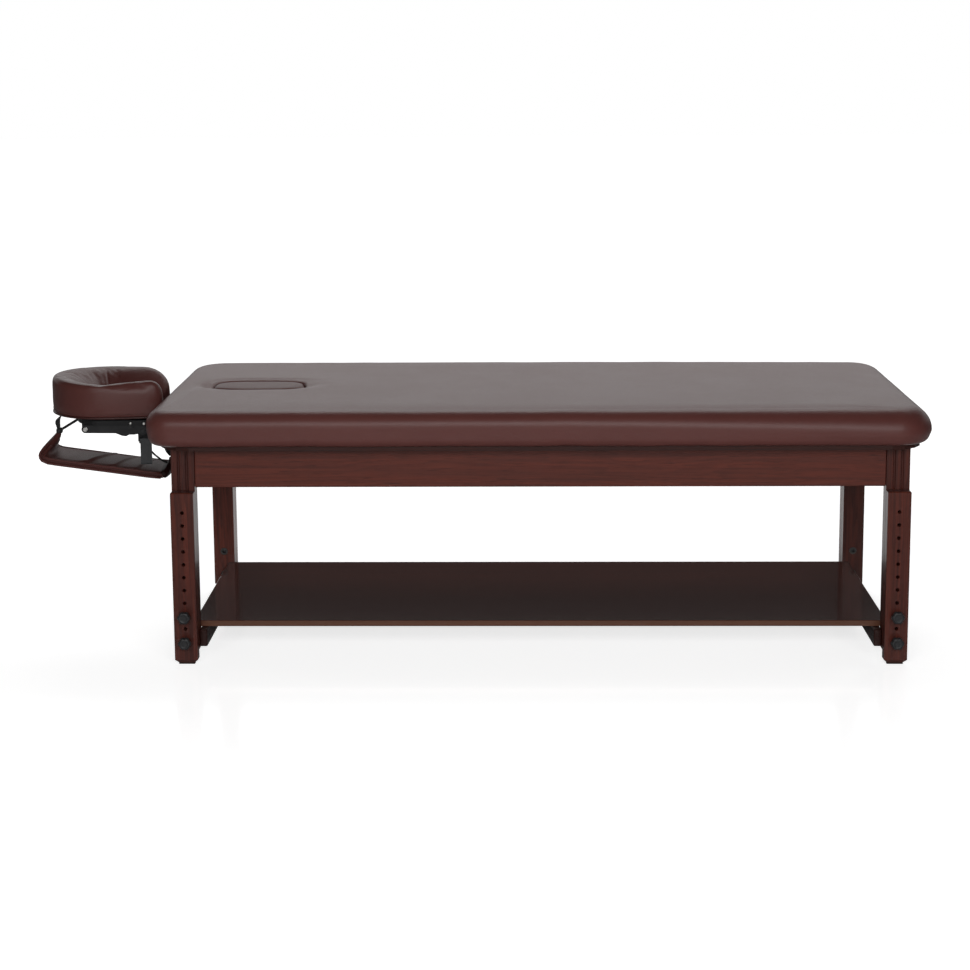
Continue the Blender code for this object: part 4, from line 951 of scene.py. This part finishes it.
class TABLE_OT_arm_sling(bpy.types.Operator):
    """Builds the padded arm sling with its gathered ends, creases and piping"""
    bl_idname = "massage_table.arm_sling"
    bl_label = "Arm Sling"

    def execute(self, context):
        look = context.scene.table_sling
        stations = smooth_path(sling_route(), 110)
        turn = 2 * np.pi * (np.arange(SLING_POINTS) + 0.5) / SLING_POINTS
        c, s = np.cos(turn), np.sin(turn)
        wide = np.sign(c) * np.abs(c) ** 0.42
        thick = np.sign(s) * np.abs(s) ** 0.62
        ahead = np.gradient(stations[:, :2], axis=0)
        ahead /= np.linalg.norm(ahead, axis=1)[:, None]
        rings, ends = [], []
        edges = {-1: [], 1: []}
        for (x, z, wshare, tshare), (tx, tz) in zip(stations, ahead):
            nx, nz = -tz, tx
            half_w = look.half_width * wshare
            half_t = look.half_thickness * tshare
            y = half_w * wide
            t = half_t * thick
            # Gathered folds toward the narrow ends
            folds = (1 - wshare) * SLING_FOLD
            t = t + folds * np.cos(turn * 7 + 0.6) * np.abs(s)
            y = y * (1 + 0.10 * (1 - wshare) * np.cos(turn * 9))
            rings.append(np.column_stack([x + nx * t, y, z + nz * t]))
            if x > SLING_HIGH.x - SLING_END:
                ends.append(rings[-1])
            elif 0.55 < wshare:
                for side in edges:
                    edges[side].append((x, z, nx, nz, side * half_w, half_t))
        panel = loft("sling_pad", rings,
                     vinyl_material("brown_vinyl_sling", tone=0.62, rough=0.05, specular=0.11))
        hem, neck = look.half_width - SLING_HEM, SLING_HIGH.z - 0.02
        swell(panel, SLING_VOXEL, lambda p: (np.abs(p[:, 1]) > hem) | (p[:, 2] > neck), cap=SLING_CAP)
        self.pleat(panel.data, look.half_width)
        dress(panel, "arm_sling", "brown_vinyl", "sling_panel")
        # Webbing wound round the gathered neck
        x, z, tx, tz = *stations[5, :2], *ahead[5]
        half_long, half_wide, half_thick = 0.0055, 0.0125, 0.0082
        rings = []
        for u in np.linspace(-1.0, 1.0, 9):
            grow = 1 - 0.12 * u * u
            ring = np.column_stack([-tz * half_thick * grow * s, half_wide * grow * c,
                                    tx * half_thick * grow * s])
            rings.append(ring + np.array([x + tx * half_long * u, 0.0, z + tz * half_long * u]))
        wrap = loft("sling_neck_wrap", rings,
                    webbing_material("black_webbing_wrap", tuple(look.webbing), STRAP_THREAD))
        dress(wrap, "arm_sling", "black_webbing")
        # Sleeve round the curled end at the table, painted near black as painted shade inside the curl
        shade_sleeve = [ring + (ring - ring.mean(axis=0)) * SLEEVE_GROWTH for ring in ends]
        cover = loft("sling_end_cover", shade_sleeve,
                     vinyl_material("brown_vinyl_sling_end", tone=0.16, rough=0.10, specular=0.12))
        dress(cover, "arm_sling", "brown_vinyl")
        # Two lines of piping along each long edge
        for side, label in ((-1, "front"), (1, "rear")):
            for level, name in ((0.50, "upper"), (-0.38, "lower")):
                path = [(x + nx * t * level, w * (1.006 - 0.012 * abs(level)), z + nz * t * level)
                        for x, z, nx, nz, w, t in edges[side]]
                cord = tube("sling_piping_" + name + "_" + label, path, look.piping,
                            vinyl_material("brown_vinyl_edge", tone=0.78, rough=0.02, specular=0.16))
                dress(cord, "arm_sling", "brown_vinyl")
        return {"FINISHED"}

    def pleat(self, mesh, half_width):
        """Lifts slanting pleats on the top of the panel, after the cover has settled."""
        points, normals = mesh_points(mesh), mesh_normals(mesh)
        edge = np.clip((half_width - np.abs(points[:, 1])) / PLEAT_EDGE, 0, 1)
        for near_x, far_x, share in SLING_CREASES:
            line = near_x + (far_x - near_x) * (points[:, 1] + half_width) / (2 * half_width)
            off = points[:, 0] - line
            rise = np.clip(1 + off / PLEAT_RUN, 0, 1) ** 2
            drop = 1 / (1 + np.exp(np.clip(off / PLEAT_DROP, -40, 40)))
            points[:, 2] += np.where(normals[:, 2] > 0.4, share * PLEAT_RISE * rise * drop * edge, 0.0)
        move_points(mesh, points)


STRAP_THREAD = 0.0016  # spacing of the webbing's threads
# Outline of a strap's section: shares of its half width and half thickness
STRAP_SECTION = ((-1.0, -0.35), (-0.96, -1.0), (-0.4, -1.05), (0.4, -1.05), (0.96, -1.0), (1.0, -0.35),
                 (1.0, 0.35), (0.96, 1.0), (0.4, 1.05), (-0.4, 1.05), (-0.96, 1.0), (-1.0, 0.35))


def strap_band(name, path, across, widths, thickness, material):
    """A flat strap along a smooth path; across holds its width direction at each point."""
    count = max(24, len(path) * 8)
    data = smooth_path(np.column_stack([path, across, widths]), count)
    points, wide, widths = data[:, :3], data[:, 3:6], data[:, 6]
    ahead = np.gradient(points, axis=0)
    ahead /= np.linalg.norm(ahead, axis=1)[:, None]
    wide = wide - ahead * np.sum(wide * ahead, axis=1)[:, None]
    wide /= np.linalg.norm(wide, axis=1)[:, None]
    flat = np.cross(ahead, wide)
    rings = []
    for p, w, f, size in zip(points, wide, flat, widths):
        rings.append([p + w * (a * size / 2) + f * (b * thickness / 2) for a, b in STRAP_SECTION])
    return loft(name, rings, material)


class TABLE_OT_sling_straps(bpy.types.Operator):
    """Builds the three webbing straps that carry the sling"""
    bl_idname = "massage_table.sling_straps"
    bl_label = "Sling Straps"

    def execute(self, context):
        look = context.scene.table_sling
        material = webbing_material("black_webbing_strap", tuple(look.webbing), STRAP_THREAD)
        t = look.strap_thickness
        # Far strap: twisted strand to the cushion, thin strand to the platform
        neck_x, neck_z = SLING_LOW.x + 0.047, SLING_HIGH.z
        high = corners("sling_strap_far")[1]
        under = high.z - 0.0165
        path = [(neck_x + 0.018, 0.0, high.z + 0.001), (neck_x + 0.0068, 0.0, high.z - 0.012),
                (neck_x - 0.0024, 0.0, (high.z + neck_z) / 2 - 0.0015),
                (neck_x - 0.0016, 0.0, neck_z + 0.013), (neck_x + 0.0010, 0.0, neck_z + 0.0035),
                (neck_x + 0.009, 0.0, neck_z + 0.0066), (neck_x + 0.033, 0.0, neck_z + 0.0210),
                (neck_x + 0.052, 0.0, under - 0.0034), (neck_x + 0.061, 0.0, under),
                (high.x, 0.0, under + 0.0002)]
        across = [(0.20, -0.98, 0), (0.30, -0.95, 0), (0.95, -0.31, 0), (0.97, -0.24, 0), (0.6, -0.8, 0),
                  (-0.3, -0.6, 0.7), (-0.45, -0.35, 0.82), (-0.4, -0.6, 0.7), (0, -1, 0), (0, -1, 0)]
        widths = [0.009, 0.0085, 0.0140, 0.0115, 0.0085, 0.0072, 0.0068, 0.0070, 0.009, 0.010]
        far = strap_band("sling_strap_to_cushion", path, across, widths, t, material)
        dress(far, "arm_sling", "black_webbing", "sling_strap_far")
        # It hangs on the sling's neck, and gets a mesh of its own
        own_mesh(far)
        # Front strap: over the front post and down to the gathered end
        hang_x = SLING_HIGH.x - 0.0105
        gather_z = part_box("sling_strap_front")[0][2] + 0.0015
        ring = (POST_HIGH.z - POST_LOW.z) / 2 + 0.0010 + t / 2
        path = []
        for turn in np.radians((-70, -40, -10, 20, 50, 80, 110, 140, 170, 195, 215)):
            path.append((hang_x, POST_Y - ring * math.cos(turn), POST_Z + ring * math.sin(turn)))
        path += [(hang_x, -0.052, (POST_Z + gather_z) / 2 + 0.010), (hang_x, -0.028, gather_z + 0.018),
                 (hang_x + 0.003, -0.004, gather_z)]
        widths = [look.strap_width] * 11 + [0.020, 0.018, 0.014]
        front = strap_band("sling_strap_over_post", path, [(1, 0, 0)] * len(path), widths, t, material)
        dress(front, "headrest", "black_webbing", "sling_strap_front")
        # Rear strap: a thin strand from the base
        low, high = corners("sling_strap_rear")
        mid_y = (low.y + high.y) / 2
        path = [(low.x + 0.001, mid_y, high.z - t / 2),
                (low.x + 0.004, mid_y - 0.006, high.z - t / 2 - 0.002),
                (low.x + 0.007, mid_y - 0.022, high.z - 0.018), (low.x + 0.013, -0.026, high.z - 0.0395),
                (low.x + 0.027, -0.030, high.z - 0.0515), (low.x + 0.041, -0.030, high.z - 0.0625),
                (low.x + 0.053, -0.026, high.z - 0.0690)]
        across = [(0, 1, 0), (0, 0.9, 0.3), (0.5, -0.5, 0.5), (0.62, -0.2, 0.75), (0.6, -0.2, 0.77),
                  (0.5, -0.2, 0.8), (0.4, -0.4, 0.8)]
        widths = [0.010, 0.0085, 0.006, 0.0048, 0.0046, 0.0046, 0.006]
        rear = strap_band("sling_strap_to_base", path, across, widths, t, material)
        dress(rear, "headrest", "black_webbing", "sling_strap_rear")
        return {"FINISHED"}


# ---------------------------------------------------------------- knobs and fasteners

KNOB_POINTS, KNOB_DEPTH, COLLAR_DEPTH, LOBE_DEPTH = 96, 0.014, 0.009, 0.135
# Profile of a knob's head: height over its back, share of the radius, share of the lobes' depth
KNOB_HEAD = ((0.0004, 0.86, 0.8), (0.0016, 0.95, 1.0), (0.0034, 0.995, 1.0), (0.0070, 1.0, 1.0),
             (0.0098, 0.985, 1.0), (0.0116, 0.94, 0.95), (0.0128, 0.87, 0.85), (0.0136, 0.77, 0.6),
             (0.0139, 0.66, 0.3), (0.0139, 0.56, 0.0), (0.0134, 0.53, 0.0), (0.0133, 0.40, 0.0),
             (0.0136, 0.20, 0.0), (0.0137, 0.05, 0.0))


class TABLE_OT_knobs(bpy.types.Operator):
    """Builds the eight lobed clamping knobs with their studs"""
    bl_idname = "massage_table.knobs"
    bl_label = "Clamping Knobs"

    def execute(self, context):
        look = context.scene.table_hardware
        material = speckled_material("black_knob_plastic", tuple(look.plastic), 0.42, scale=700.0)
        for node in KNOB_NODES:
            low, high = corners(node)
            side = -1 if low.y < 0 else 1
            x, z = (low.x + high.x) / 2, (low.z + high.z) / 2
            face = high.y if side > 0 else low.y
            tip = low.y if side > 0 else high.y
            back = face - side * KNOB_DEPTH
            collar = back - side * COLLAR_DEPTH
            profile = [(tip, 0.0030, 0.0), (tip + side * 0.001, 0.0040, 0.0), (collar, 0.0040, 0.0),
                       (collar, 0.0075, 0.0), (collar + side * 0.0008, 0.0084, 0.0),
                       (back - side * 0.001, 0.0084, 0.0), (back, 0.0105, 0.25)]
            profile += [(back + side * y, look.knob_radius * r, lobe) for y, r, lobe in KNOB_HEAD]
            turn = 2 * np.pi * np.arange(KNOB_POINTS) / KNOB_POINTS
            rings = []
            for y, r, lobe in profile:
                rr = r * (1 - LOBE_DEPTH * lobe * np.abs(np.sin(look.knob_lobes * turn / 2)) ** 4)
                rings.append(np.column_stack([x + rr * np.cos(turn), np.full(KNOB_POINTS, y),
                                              z + rr * np.sin(turn)]))
            knob = loft("clamp_" + node, rings, material)
            knob.data.set_sharp_from_angle(angle=math.radians(50))
            dress(knob, node, "black_plastic", node)
        return {"FINISHED"}


BALL_NODES = {"given": "NodeGroupInput", "out": "NodeGroupOutput", "ball": "GeometryNodeMeshUVSphere",
              "size": "ShaderNodeCombineXYZ", "align": "FunctionNodeAlignRotationToVector",
              "place": "GeometryNodeInstanceOnPoints", "real": "GeometryNodeRealizeInstances",
              "smooth": "GeometryNodeSetShadeSmooth", "paint": "GeometryNodeSetMaterial"}
STITCH_SHARE = 0.40  # half length of a stitch as a share of the pitch


def ball_tree(name, source, numbers, result, segments, rings):
    """Geometry nodes that set a stretched ball on points: the tree, its input keys and its nodes.

    The caller joins the points, the way the balls turn and their size.
    """
    tree = bpy.data.node_groups.new(name, "GeometryNodeTree")
    face, links = tree.interface, tree.links
    face.new_socket(source, in_out="INPUT", socket_type="NodeSocketGeometry")
    keys = {}
    for label in (*numbers, "Material"):
        kind = "NodeSocketMaterial" if label == "Material" else "NodeSocketFloat"
        keys[label] = face.new_socket(label, in_out="INPUT", socket_type=kind).identifier
    face.new_socket(result, in_out="OUTPUT", socket_type="NodeSocketGeometry")
    parts = {part: tree.nodes.new(kind) for part, kind in BALL_NODES.items()}
    for label, value in (("Segments", segments), ("Rings", rings), ("Radius", 1.0)):
        parts["ball"].inputs[label].default_value = value
    place = parts["place"]
    links.new(parts["ball"].outputs["Mesh"], place.inputs["Instance"])
    links.new(parts["align"].outputs["Rotation"], place.inputs["Rotation"])
    links.new(parts["size"].outputs["Vector"], place.inputs["Scale"])
    links.new(place.outputs["Instances"], parts["real"].inputs["Geometry"])
    links.new(parts["real"].outputs["Geometry"], parts["smooth"].inputs["Geometry"])
    links.new(parts["smooth"].outputs["Geometry"], parts["paint"].inputs["Geometry"])
    links.new(parts["given"].outputs["Material"], parts["paint"].inputs["Material"])
    links.new(parts["paint"].outputs["Geometry"], parts["out"].inputs[result])
    return tree, keys, parts


def head_tree(name):
    """Geometry nodes: round heads on points, turned to each point's facing."""
    tree, keys, parts = ball_tree(name, "Points", ("Head Radius", "Head Height"), "Heads", 24, 12)
    given, links = parts["given"].outputs, tree.links
    facing = tree.nodes.new("GeometryNodeInputNamedAttribute")
    facing.data_type = "FLOAT_VECTOR"
    facing.inputs["Name"].default_value = "facing"
    parts["align"].axis = "Z"
    for socket, label in (("X", "Head Radius"), ("Y", "Head Radius"), ("Z", "Head Height")):
        links.new(given[label], parts["size"].inputs[socket])
    links.new(given["Points"], parts["place"].inputs["Points"])
    links.new(facing.outputs["Attribute"], parts["align"].inputs["Vector"])
    return tree, keys


def stitch_tree(name):
    """Geometry nodes: rounded stitches laid end to end along edges."""
    tree, keys, parts = ball_tree(name, "Line", ("Pitch", "Thread"), "Stitches", 8, 6)
    given, links = parts["given"].outputs, tree.links
    curve, spaced, tangent, longer = (tree.nodes.new(kind) for kind in (
        "GeometryNodeMeshToCurve", "GeometryNodeResampleCurve", "GeometryNodeInputTangent", "ShaderNodeMath"))
    spaced.mode = "LENGTH"
    parts["align"].axis = "X"
    longer.operation = "MULTIPLY"
    longer.inputs[1].default_value = STITCH_SHARE
    links.new(given["Line"], curve.inputs["Mesh"])
    links.new(curve.outputs["Curve"], spaced.inputs["Curve"])
    links.new(given["Pitch"], spaced.inputs["Length"])
    links.new(given["Pitch"], longer.inputs[0])
    links.new(longer.outputs[0], parts["size"].inputs["X"])
    for socket in ("Y", "Z"):
        links.new(given["Thread"], parts["size"].inputs[socket])
    links.new(tangent.outputs["Tangent"], parts["align"].inputs["Vector"])
    links.new(spaced.outputs["Curve"], parts["place"].inputs["Points"])
    return tree, keys


def run_tree(name, mesh, made, values):
    """Runs a geometry node tree on a mesh and keeps its result as a plain object."""
    tree, keys = made
    carrier = bpy.data.objects.new(name + "_carrier", mesh)
    bpy.context.scene.collection.objects.link(carrier)
    modifier = carrier.modifiers.new(name, "NODES")
    modifier.node_group = tree
    for label, value in values.items():
        modifier[keys[label]] = value
    result = evaluated_mesh(carrier)
    carrier.modifiers.remove(modifier)
    bpy.data.objects.remove(carrier, do_unlink=True)
    result.name = name
    obj = bpy.data.objects.new(name, result)
    bpy.context.scene.collection.objects.link(obj)
    return obj


def point_mesh(name, places):
    """A mesh of loose points, each with the way it faces."""
    mesh = bpy.data.meshes.new(name + "_points")
    mesh.from_pydata([p for p, _ in places], [], [])
    facing = mesh.attributes.new("facing", "FLOAT_VECTOR", "POINT")
    for i, (_, way) in enumerate(places):
        facing.data[i].vector = way
    return mesh


def line_mesh(name, lines):
    """A mesh of edges along open lines of points."""
    points, edges = [], []
    for line in lines:
        base = len(points)
        points += [tuple(map(float, p)) for p in line]
        edges += [(base + i, base + i + 1) for i in range(len(line) - 1)]
    mesh = bpy.data.meshes.new(name + "_lines")
    mesh.from_pydata(points, edges, [])
    return mesh


RIVET_RISE, SCREW_RISE, THREAD_RADIUS = 0.0016, 0.0012, 0.00055
SCREW_INSETS = (0.011, 0.026)  # from the ends of a shelf bar


class TABLE_OT_fasteners(bpy.types.Operator):
    """Sets the rivets of the cradle and the screws of the shelf bars"""
    bl_idname = "massage_table.fasteners"
    bl_label = "Rivets and Screws"

    def execute(self, context):
        look = context.scene.table_hardware
        zinc, dull = bpy.data.materials["zinc_plate"], bpy.data.materials["dull_plate"]
        heads = head_tree("round_heads")
        # Two rivets through each side of the platform
        side_z = (PLATFORM_HIGH.z + BASE_HIGH.z) / 2 - 0.0005
        places = []
        for side in (-1, 1):
            y = side * (PLATFORM_HIGH.y + 0.0002)
            places += [((BASE_LOW.x - 0.014, y, side_z), (0, side, 0)),
                       ((BASE_LOW.x + 0.019, y, side_z - 0.001), (0, side, 0))]
        rivets = run_tree("platform_rivets", point_mesh("platform_rivets", places), heads,
                          {"Head Radius": look.rivet_radius, "Head Height": RIVET_RISE, "Material": zinc})
        dress(rivets, "cradle_platform_body", "zinc_steel")
        # Two screws through each end of the shelf bars into the upper legs
        places = []
        for node, way in (("shelf_bar_head", 1), ("shelf_bar_foot", -1)):
            low, high = corners(node)
            x = high.x if way > 0 else low.x
            outer, inner = SCREW_INSETS
            for y in (low.y + outer, low.y + inner, high.y - inner, high.y - outer):
                places.append(((x, y, (low.z + high.z) / 2), (way, 0, 0)))
        screws = run_tree("shelf_bar_screws", point_mesh("shelf_bar_screws", places), heads,
                          {"Head Radius": look.screw_radius, "Head Height": SCREW_RISE, "Material": dull})
        dress(screws, "table", "zinc_steel")
        return {"FINISHED"}


class TABLE_OT_stitching(bpy.types.Operator):
    """Sews the seams of the face cushion and the sling"""
    bl_idname = "massage_table.stitching"
    bl_label = "Stitching"

    def execute(self, context):
        look = context.scene.table_upholstery
        sling = context.scene.table_sling
        thread = speckled_material("brown_thread", (0.050, 0.022, 0.019), 0.6, scale=2500.0)
        sewn = stitch_tree("laid_stitches")
        laid = {"Pitch": look.stitch_pitch, "Thread": THREAD_RADIUS, "Material": thread}
        # Seam on the outer wall of the face cushion, just above the welt
        line = cushion_line(look.cushion_tube, share=0.982, lift=0.0150, skip=9, count=160)
        seam = run_tree("face_cushion_stitches", line_mesh("face_cushion_stitches", [line]), sewn, laid)
        dress(seam, "cradle_platform_body", "brown_vinyl")
        # Rows on top of the sling, inside the piping
        lines = []
        for side in (-1, 1):
            row = [(x, side * sling.half_width * 0.90, z + sling.half_thickness * 0.80)
                   for x, z, _, _ in sling_route()[6:14]]
            lines.append(smooth_path(row, 60))
        rows = run_tree("sling_stitches", line_mesh("sling_stitches", lines), sewn, laid)
        dress(rows, "arm_sling", "brown_vinyl")
        return {"FINISHED"}


# ---------------------------------------------------------------- finishes of the solids

def paint(material, *starts):
    """Gives a material to every solid whose name starts with one of these words."""
    for name, obj in frame["nodes"].items():
        if name.startswith(starts):
            obj.data.materials.clear()
            obj.data.materials.append(material)


class TABLE_OT_finishes(bpy.types.Operator):
    """Paints the wood, metal, plastic and rubber solids"""
    bl_idname = "massage_table.finishes"
    bl_label = "Finishes"

    def execute(self, context):
        look = context.scene.table_hardware
        quarter = math.pi / 2
        along_x, along_y, along_z = (0.0, 0.0, 0.0), (0.0, 0.0, quarter), (0.0, quarter, 0.0)
        # Woods: name, way of the grain, tone with the contrast of rings and streaks, solids; the rear leg
        # at the head end is given a paler tone
        for name, turn, shares, *starts in (
                ("stained_wood_long", along_x, (), "front_apron", "rear_apron"),
                ("stained_wood_cross", along_y, (), "head_rail", "foot_rail"),
                ("stained_wood_upright", along_z, (0.96, 0.70, 0.85), "lower_leg"),
                ("stained_wood_bars", along_y, (0.24,), "shelf_bar"),
                ("stained_wood_fluted", along_z, (0.76, 0.70, 0.85), "upper_leg"),
                ("stained_wood_paler", along_z, (1.12, 0.70, 0.70), "upper_leg_head_rear",
                 "lower_leg_head_rear"),
                # painted shadow: the deck's edge is darkened to stand for the dark gap between the pad and
                # the apron
                ("stained_deck", along_x, (0.32,), "top_deck")):
            paint(wood_material(name, turn, *shares), *starts)
        paint(shelf_material(), "shelf_board")
        paint(plywood_material(), "cross_rail", "post_guide")
        plated = {"metallic": 1.0, "scale": 1600.0}
        # Plastic, metal and rubber: name, colour, roughness, what differs from the usual, solids
        for name, rgb, rough, more, *starts in (
                ("black_moulding", shade(look.plastic, 0.5)[:3], 0.45, {"specular": 0.2}, "cradle_base",
                 "cradle_platform"),
                ("black_powder_coat", shade(look.steel, 0.75)[:3], 0.38, {"scale": 1400.0, "specular": 0.24},
                 "cradle_post", "cradle_arm", "tilt_plate", "lever_bracket"),
                ("zinc_plate", tuple(look.zinc), 0.30, {**plated, "strength": 0.08, "wear": 0.2},
                 "cradle_far_pin", "lever_pin"),
                ("dull_plate", shade(look.zinc, 0.10)[:3], 0.48, {**plated, "strength": 0.1, "wear": 0.3},
                 "tee_nut"),
                ("blackened_rod", tuple(look.steel), 0.42, {"scale": 1600.0}, "cradle_pivot_rod"),
                ("grey_lever_coat", tuple(look.lever), 0.46, {"scale": 1200.0}, "cam_lever"),
                ("foot_rubber", tuple(look.rubber), 0.80, {"scale": 600.0, "strength": 0.3}, "foot_pad")):
            paint(speckled_material(name, rgb, rough, **more), *starts)
        paint(webbing_material("black_hook_strip", (0.010, 0.010, 0.010), 0.0011), "hook_strip")
        return {"FINISHED"}


# ---------------------------------------------------------------- stage

# Lights: name, place, point it faces, width and height, and its power setting
LIGHTS = (("front_light", (0.2, -4.0, 1.8), (0.15, 0.0, 0.45), (4.5, 1.1), "key_power"),
          ("back_light", (0.2, 2.5, 3.2), (0.15, 0.0, 0.6), (5.0, 1.2), "back_power"),
          ("sheen_light", (0.2, 1.2, 1.02), (0.2, 0.0, 1.02), (6.0, 0.7), "sheen_power"),
          ("fill_light", (0.2, -4.2, 0.55), (0.15, 0.0, 0.35), (4.5, 0.9), "fill_power"))
# Camera that was fitted to the photograph: place, turns in radians, focal length and frame in pixels
CAMERA_PLACE = (0.1307, -4.6196, 1.4311)
CAMERA_YAW, CAMERA_PITCH, CAMERA_ROLL = -0.0206, 0.1492, 0.0065
FOCAL_PIXELS, FRAME_PIXELS, SENSOR, CAMERA_SHIFT = 1868.42, 970, 36.0, -0.15
WHITE = (1.0, 1.0, 1.0, 1.0)
FLOOR_REACH, FLOOR_ROUGHNESS = 30.0, 0.11
GLOW_NEAR, GLOW_FAR = 0.7, 2.6  # where the floor's white starts to rise and where it is full


def soft_light(name, place, target, size, power):
    """An area light that faces a point and isn't seen by the camera."""
    lamp = bpy.data.lights.new(name, "AREA")
    lamp.shape = "RECTANGLE"
    lamp.size, lamp.size_y = size
    lamp.energy = power
    light = bpy.data.objects.new(name, lamp)
    light.location = place
    bpy.context.scene.collection.objects.link(light)
    light.rotation_euler = (Vector(target) - light.location).to_track_quat("-Z", "Y").to_euler()
    light.visible_camera = False
    return light


class TABLE_OT_stage(bpy.types.Operator):
    """Sets the pale floor, the soft light and the camera"""
    bl_idname = "massage_table.stage"
    bl_label = "Stage"

    def execute(self, context):
        scene = context.scene
        look = scene.table_stage
        self.floor(look)
        self.world(scene, look)
        for name, place, target, size, power in LIGHTS:
            light = soft_light(name, place, target, size, getattr(look, power))
            # The shelf would mirror the low front light as a white patch
            light.visible_glossy = name != "fill_light"
        self.camera(scene)
        scene.view_settings.view_transform = "Standard"
        return {"FINISHED"}

    def floor(self, look):
        material = bpy.data.materials.new("pale_floor")
        material.use_nodes = True
        w = Wiring(material.node_tree)
        material.node_tree.nodes.clear()
        matt = w.add("ShaderNodeBsdfDiffuse")
        matt.inputs["Color"].default_value = (*look.floor, 1.0)
        gloss = w.add("ShaderNodeBsdfGlossy")
        gloss.inputs["Color"].default_value = WHITE
        gloss.inputs["Roughness"].default_value = FLOOR_ROUGHNESS
        mixed = w.add("ShaderNodeMixShader")
        mixed.inputs[0].default_value = look.floor_gloss
        w.put(mixed.inputs[1], matt.outputs[0])
        w.put(mixed.inputs[2], gloss.outputs[0])
        rays = w.add("ShaderNodeLightPath")
        place = w.add("ShaderNodeTexCoord").outputs["Object"]
        spots = w.split(place)
        # Mirrors see the white of the floor only behind the table
        behind = w.times(w.span(spots[1], 0.35, 0.9), w.span(w.maths("ABSOLUTE", spots[0]), 1.2, 0.8))
        mirrored = w.times(rays.outputs["Is Glossy Ray"], behind)
        seen = w.maths("MAXIMUM", rays.outputs["Is Camera Ray"], mirrored)
        away = w.add("ShaderNodeVectorMath", operation="LENGTH")
        w.put(away.inputs[0], w.stretch(place, (0.6, 1.0, 1.0)))
        level = w.span(away.outputs["Value"], GLOW_NEAR, GLOW_FAR, look.floor_glow, 1.0)
        glow = w.add("ShaderNodeEmission")
        glow.inputs["Color"].default_value = WHITE
        w.put(glow.inputs["Strength"], w.times(seen, level))
        both = w.add("ShaderNodeAddShader")
        w.put(both.inputs[0], mixed.outputs[0])
        w.put(both.inputs[1], glow.outputs[0])
        w.put(w.add("ShaderNodeOutputMaterial").inputs["Surface"], both.outputs[0])
        r = FLOOR_REACH
        verts = [(-r, -r, 0.0), (r, -r, 0.0), (r, r, 0.0), (-r, r, 0.0)]
        floor = new_object("floor", verts, [(0, 1, 2, 3)], material, smooth=False)

    def world(self, scene, look):
        world = bpy.data.worlds.new("studio")
        scene.world = world
        world.use_nodes = True
        w = Wiring(world.node_tree)
        back = world.node_tree.nodes["Background"]
        way = w.split(w.add("ShaderNodeTexCoord").outputs["Generated"])
        level = w.span(w.maths("ABSOLUTE", way[2]), 0.22, 0.75, look.horizon, look.zenith)
        seen = w.add("ShaderNodeLightPath").outputs["Is Camera Ray"]
        back.inputs["Color"].default_value = WHITE
        w.put(back.inputs["Strength"], w.maths("MAXIMUM", level, seen))

    def camera(self, scene):
        """Sets the camera that was fitted to the photograph."""
        yaw, pitch, roll = CAMERA_YAW, CAMERA_PITCH, CAMERA_ROLL
        ahead = Vector((math.sin(yaw) * math.cos(pitch), math.cos(yaw) * math.cos(pitch), -math.sin(pitch)))
        right = Vector((math.cos(yaw), -math.sin(yaw), 0.0))
        down = ahead.cross(right)
        across = math.cos(roll) * right + math.sin(roll) * down
        below = -math.sin(roll) * right + math.cos(roll) * down
        turn = Matrix((across, -below, -ahead)).transposed().to_4x4()
        turn.translation = Vector(CAMERA_PLACE)
        camera = bpy.data.objects.new("camera", bpy.data.cameras.new("camera"))
        scene.collection.objects.link(camera)
        camera.matrix_world = turn
        camera.data.sensor_width = SENSOR
        camera.data.lens = FOCAL_PIXELS / FRAME_PIXELS * SENSOR
        camera.data.shift_y = CAMERA_SHIFT
        scene.camera = camera


# ---------------------------------------------------------------- panel and registration

STEPS = ("finishes", "padded_top", "hole_plug", "face_cushion", "arm_sling", "sling_straps", "knobs",
         "fasteners", "stitching", "stage")


class TABLE_PT_pieces(bpy.types.Panel):
    """Lists the table's settings and the operators that build its pieces"""
    bl_idname = "TABLE_PT_pieces"
    bl_label = "Massage Table"
    bl_space_type = "VIEW_3D"
    bl_region_type = "UI"
    bl_category = "Massage Table"

    def draw(self, context):
        for step in STEPS:
            self.layout.operator("massage_table." + step)
        for name in SETTINGS:
            group = getattr(context.scene, name)
            box = self.layout.box()
            for key in group.__class__.__annotations__:
                box.prop(group, key)


SETTINGS = {"table_upholstery": UpholsterySettings, "table_sling": SlingSettings, "table_wood": WoodSettings,
            "table_hardware": HardwareSettings, "table_stage": StageSettings}
CLASSES = (*SETTINGS.values(), TABLE_OT_finishes, TABLE_OT_padded_top, TABLE_OT_hole_plug,
           TABLE_OT_face_cushion, TABLE_OT_arm_sling, TABLE_OT_sling_straps, TABLE_OT_knobs,
           TABLE_OT_fasteners, TABLE_OT_stitching, TABLE_OT_stage, TABLE_PT_pieces)


def register():
    for cls in CLASSES:
        bpy.utils.register_class(cls)
    for name, cls in SETTINGS.items():
        setattr(bpy.types.Scene, name, bpy.props.PointerProperty(type=cls))


def unregister():
    for name in SETTINGS:
        delattr(bpy.types.Scene, name)
    for cls in reversed(CLASSES):
        bpy.utils.unregister_class(cls)


def main():
    register()
    for step in STEPS:
        getattr(bpy.ops.massage_table, step)()


if __name__ == "__main__":
    main()
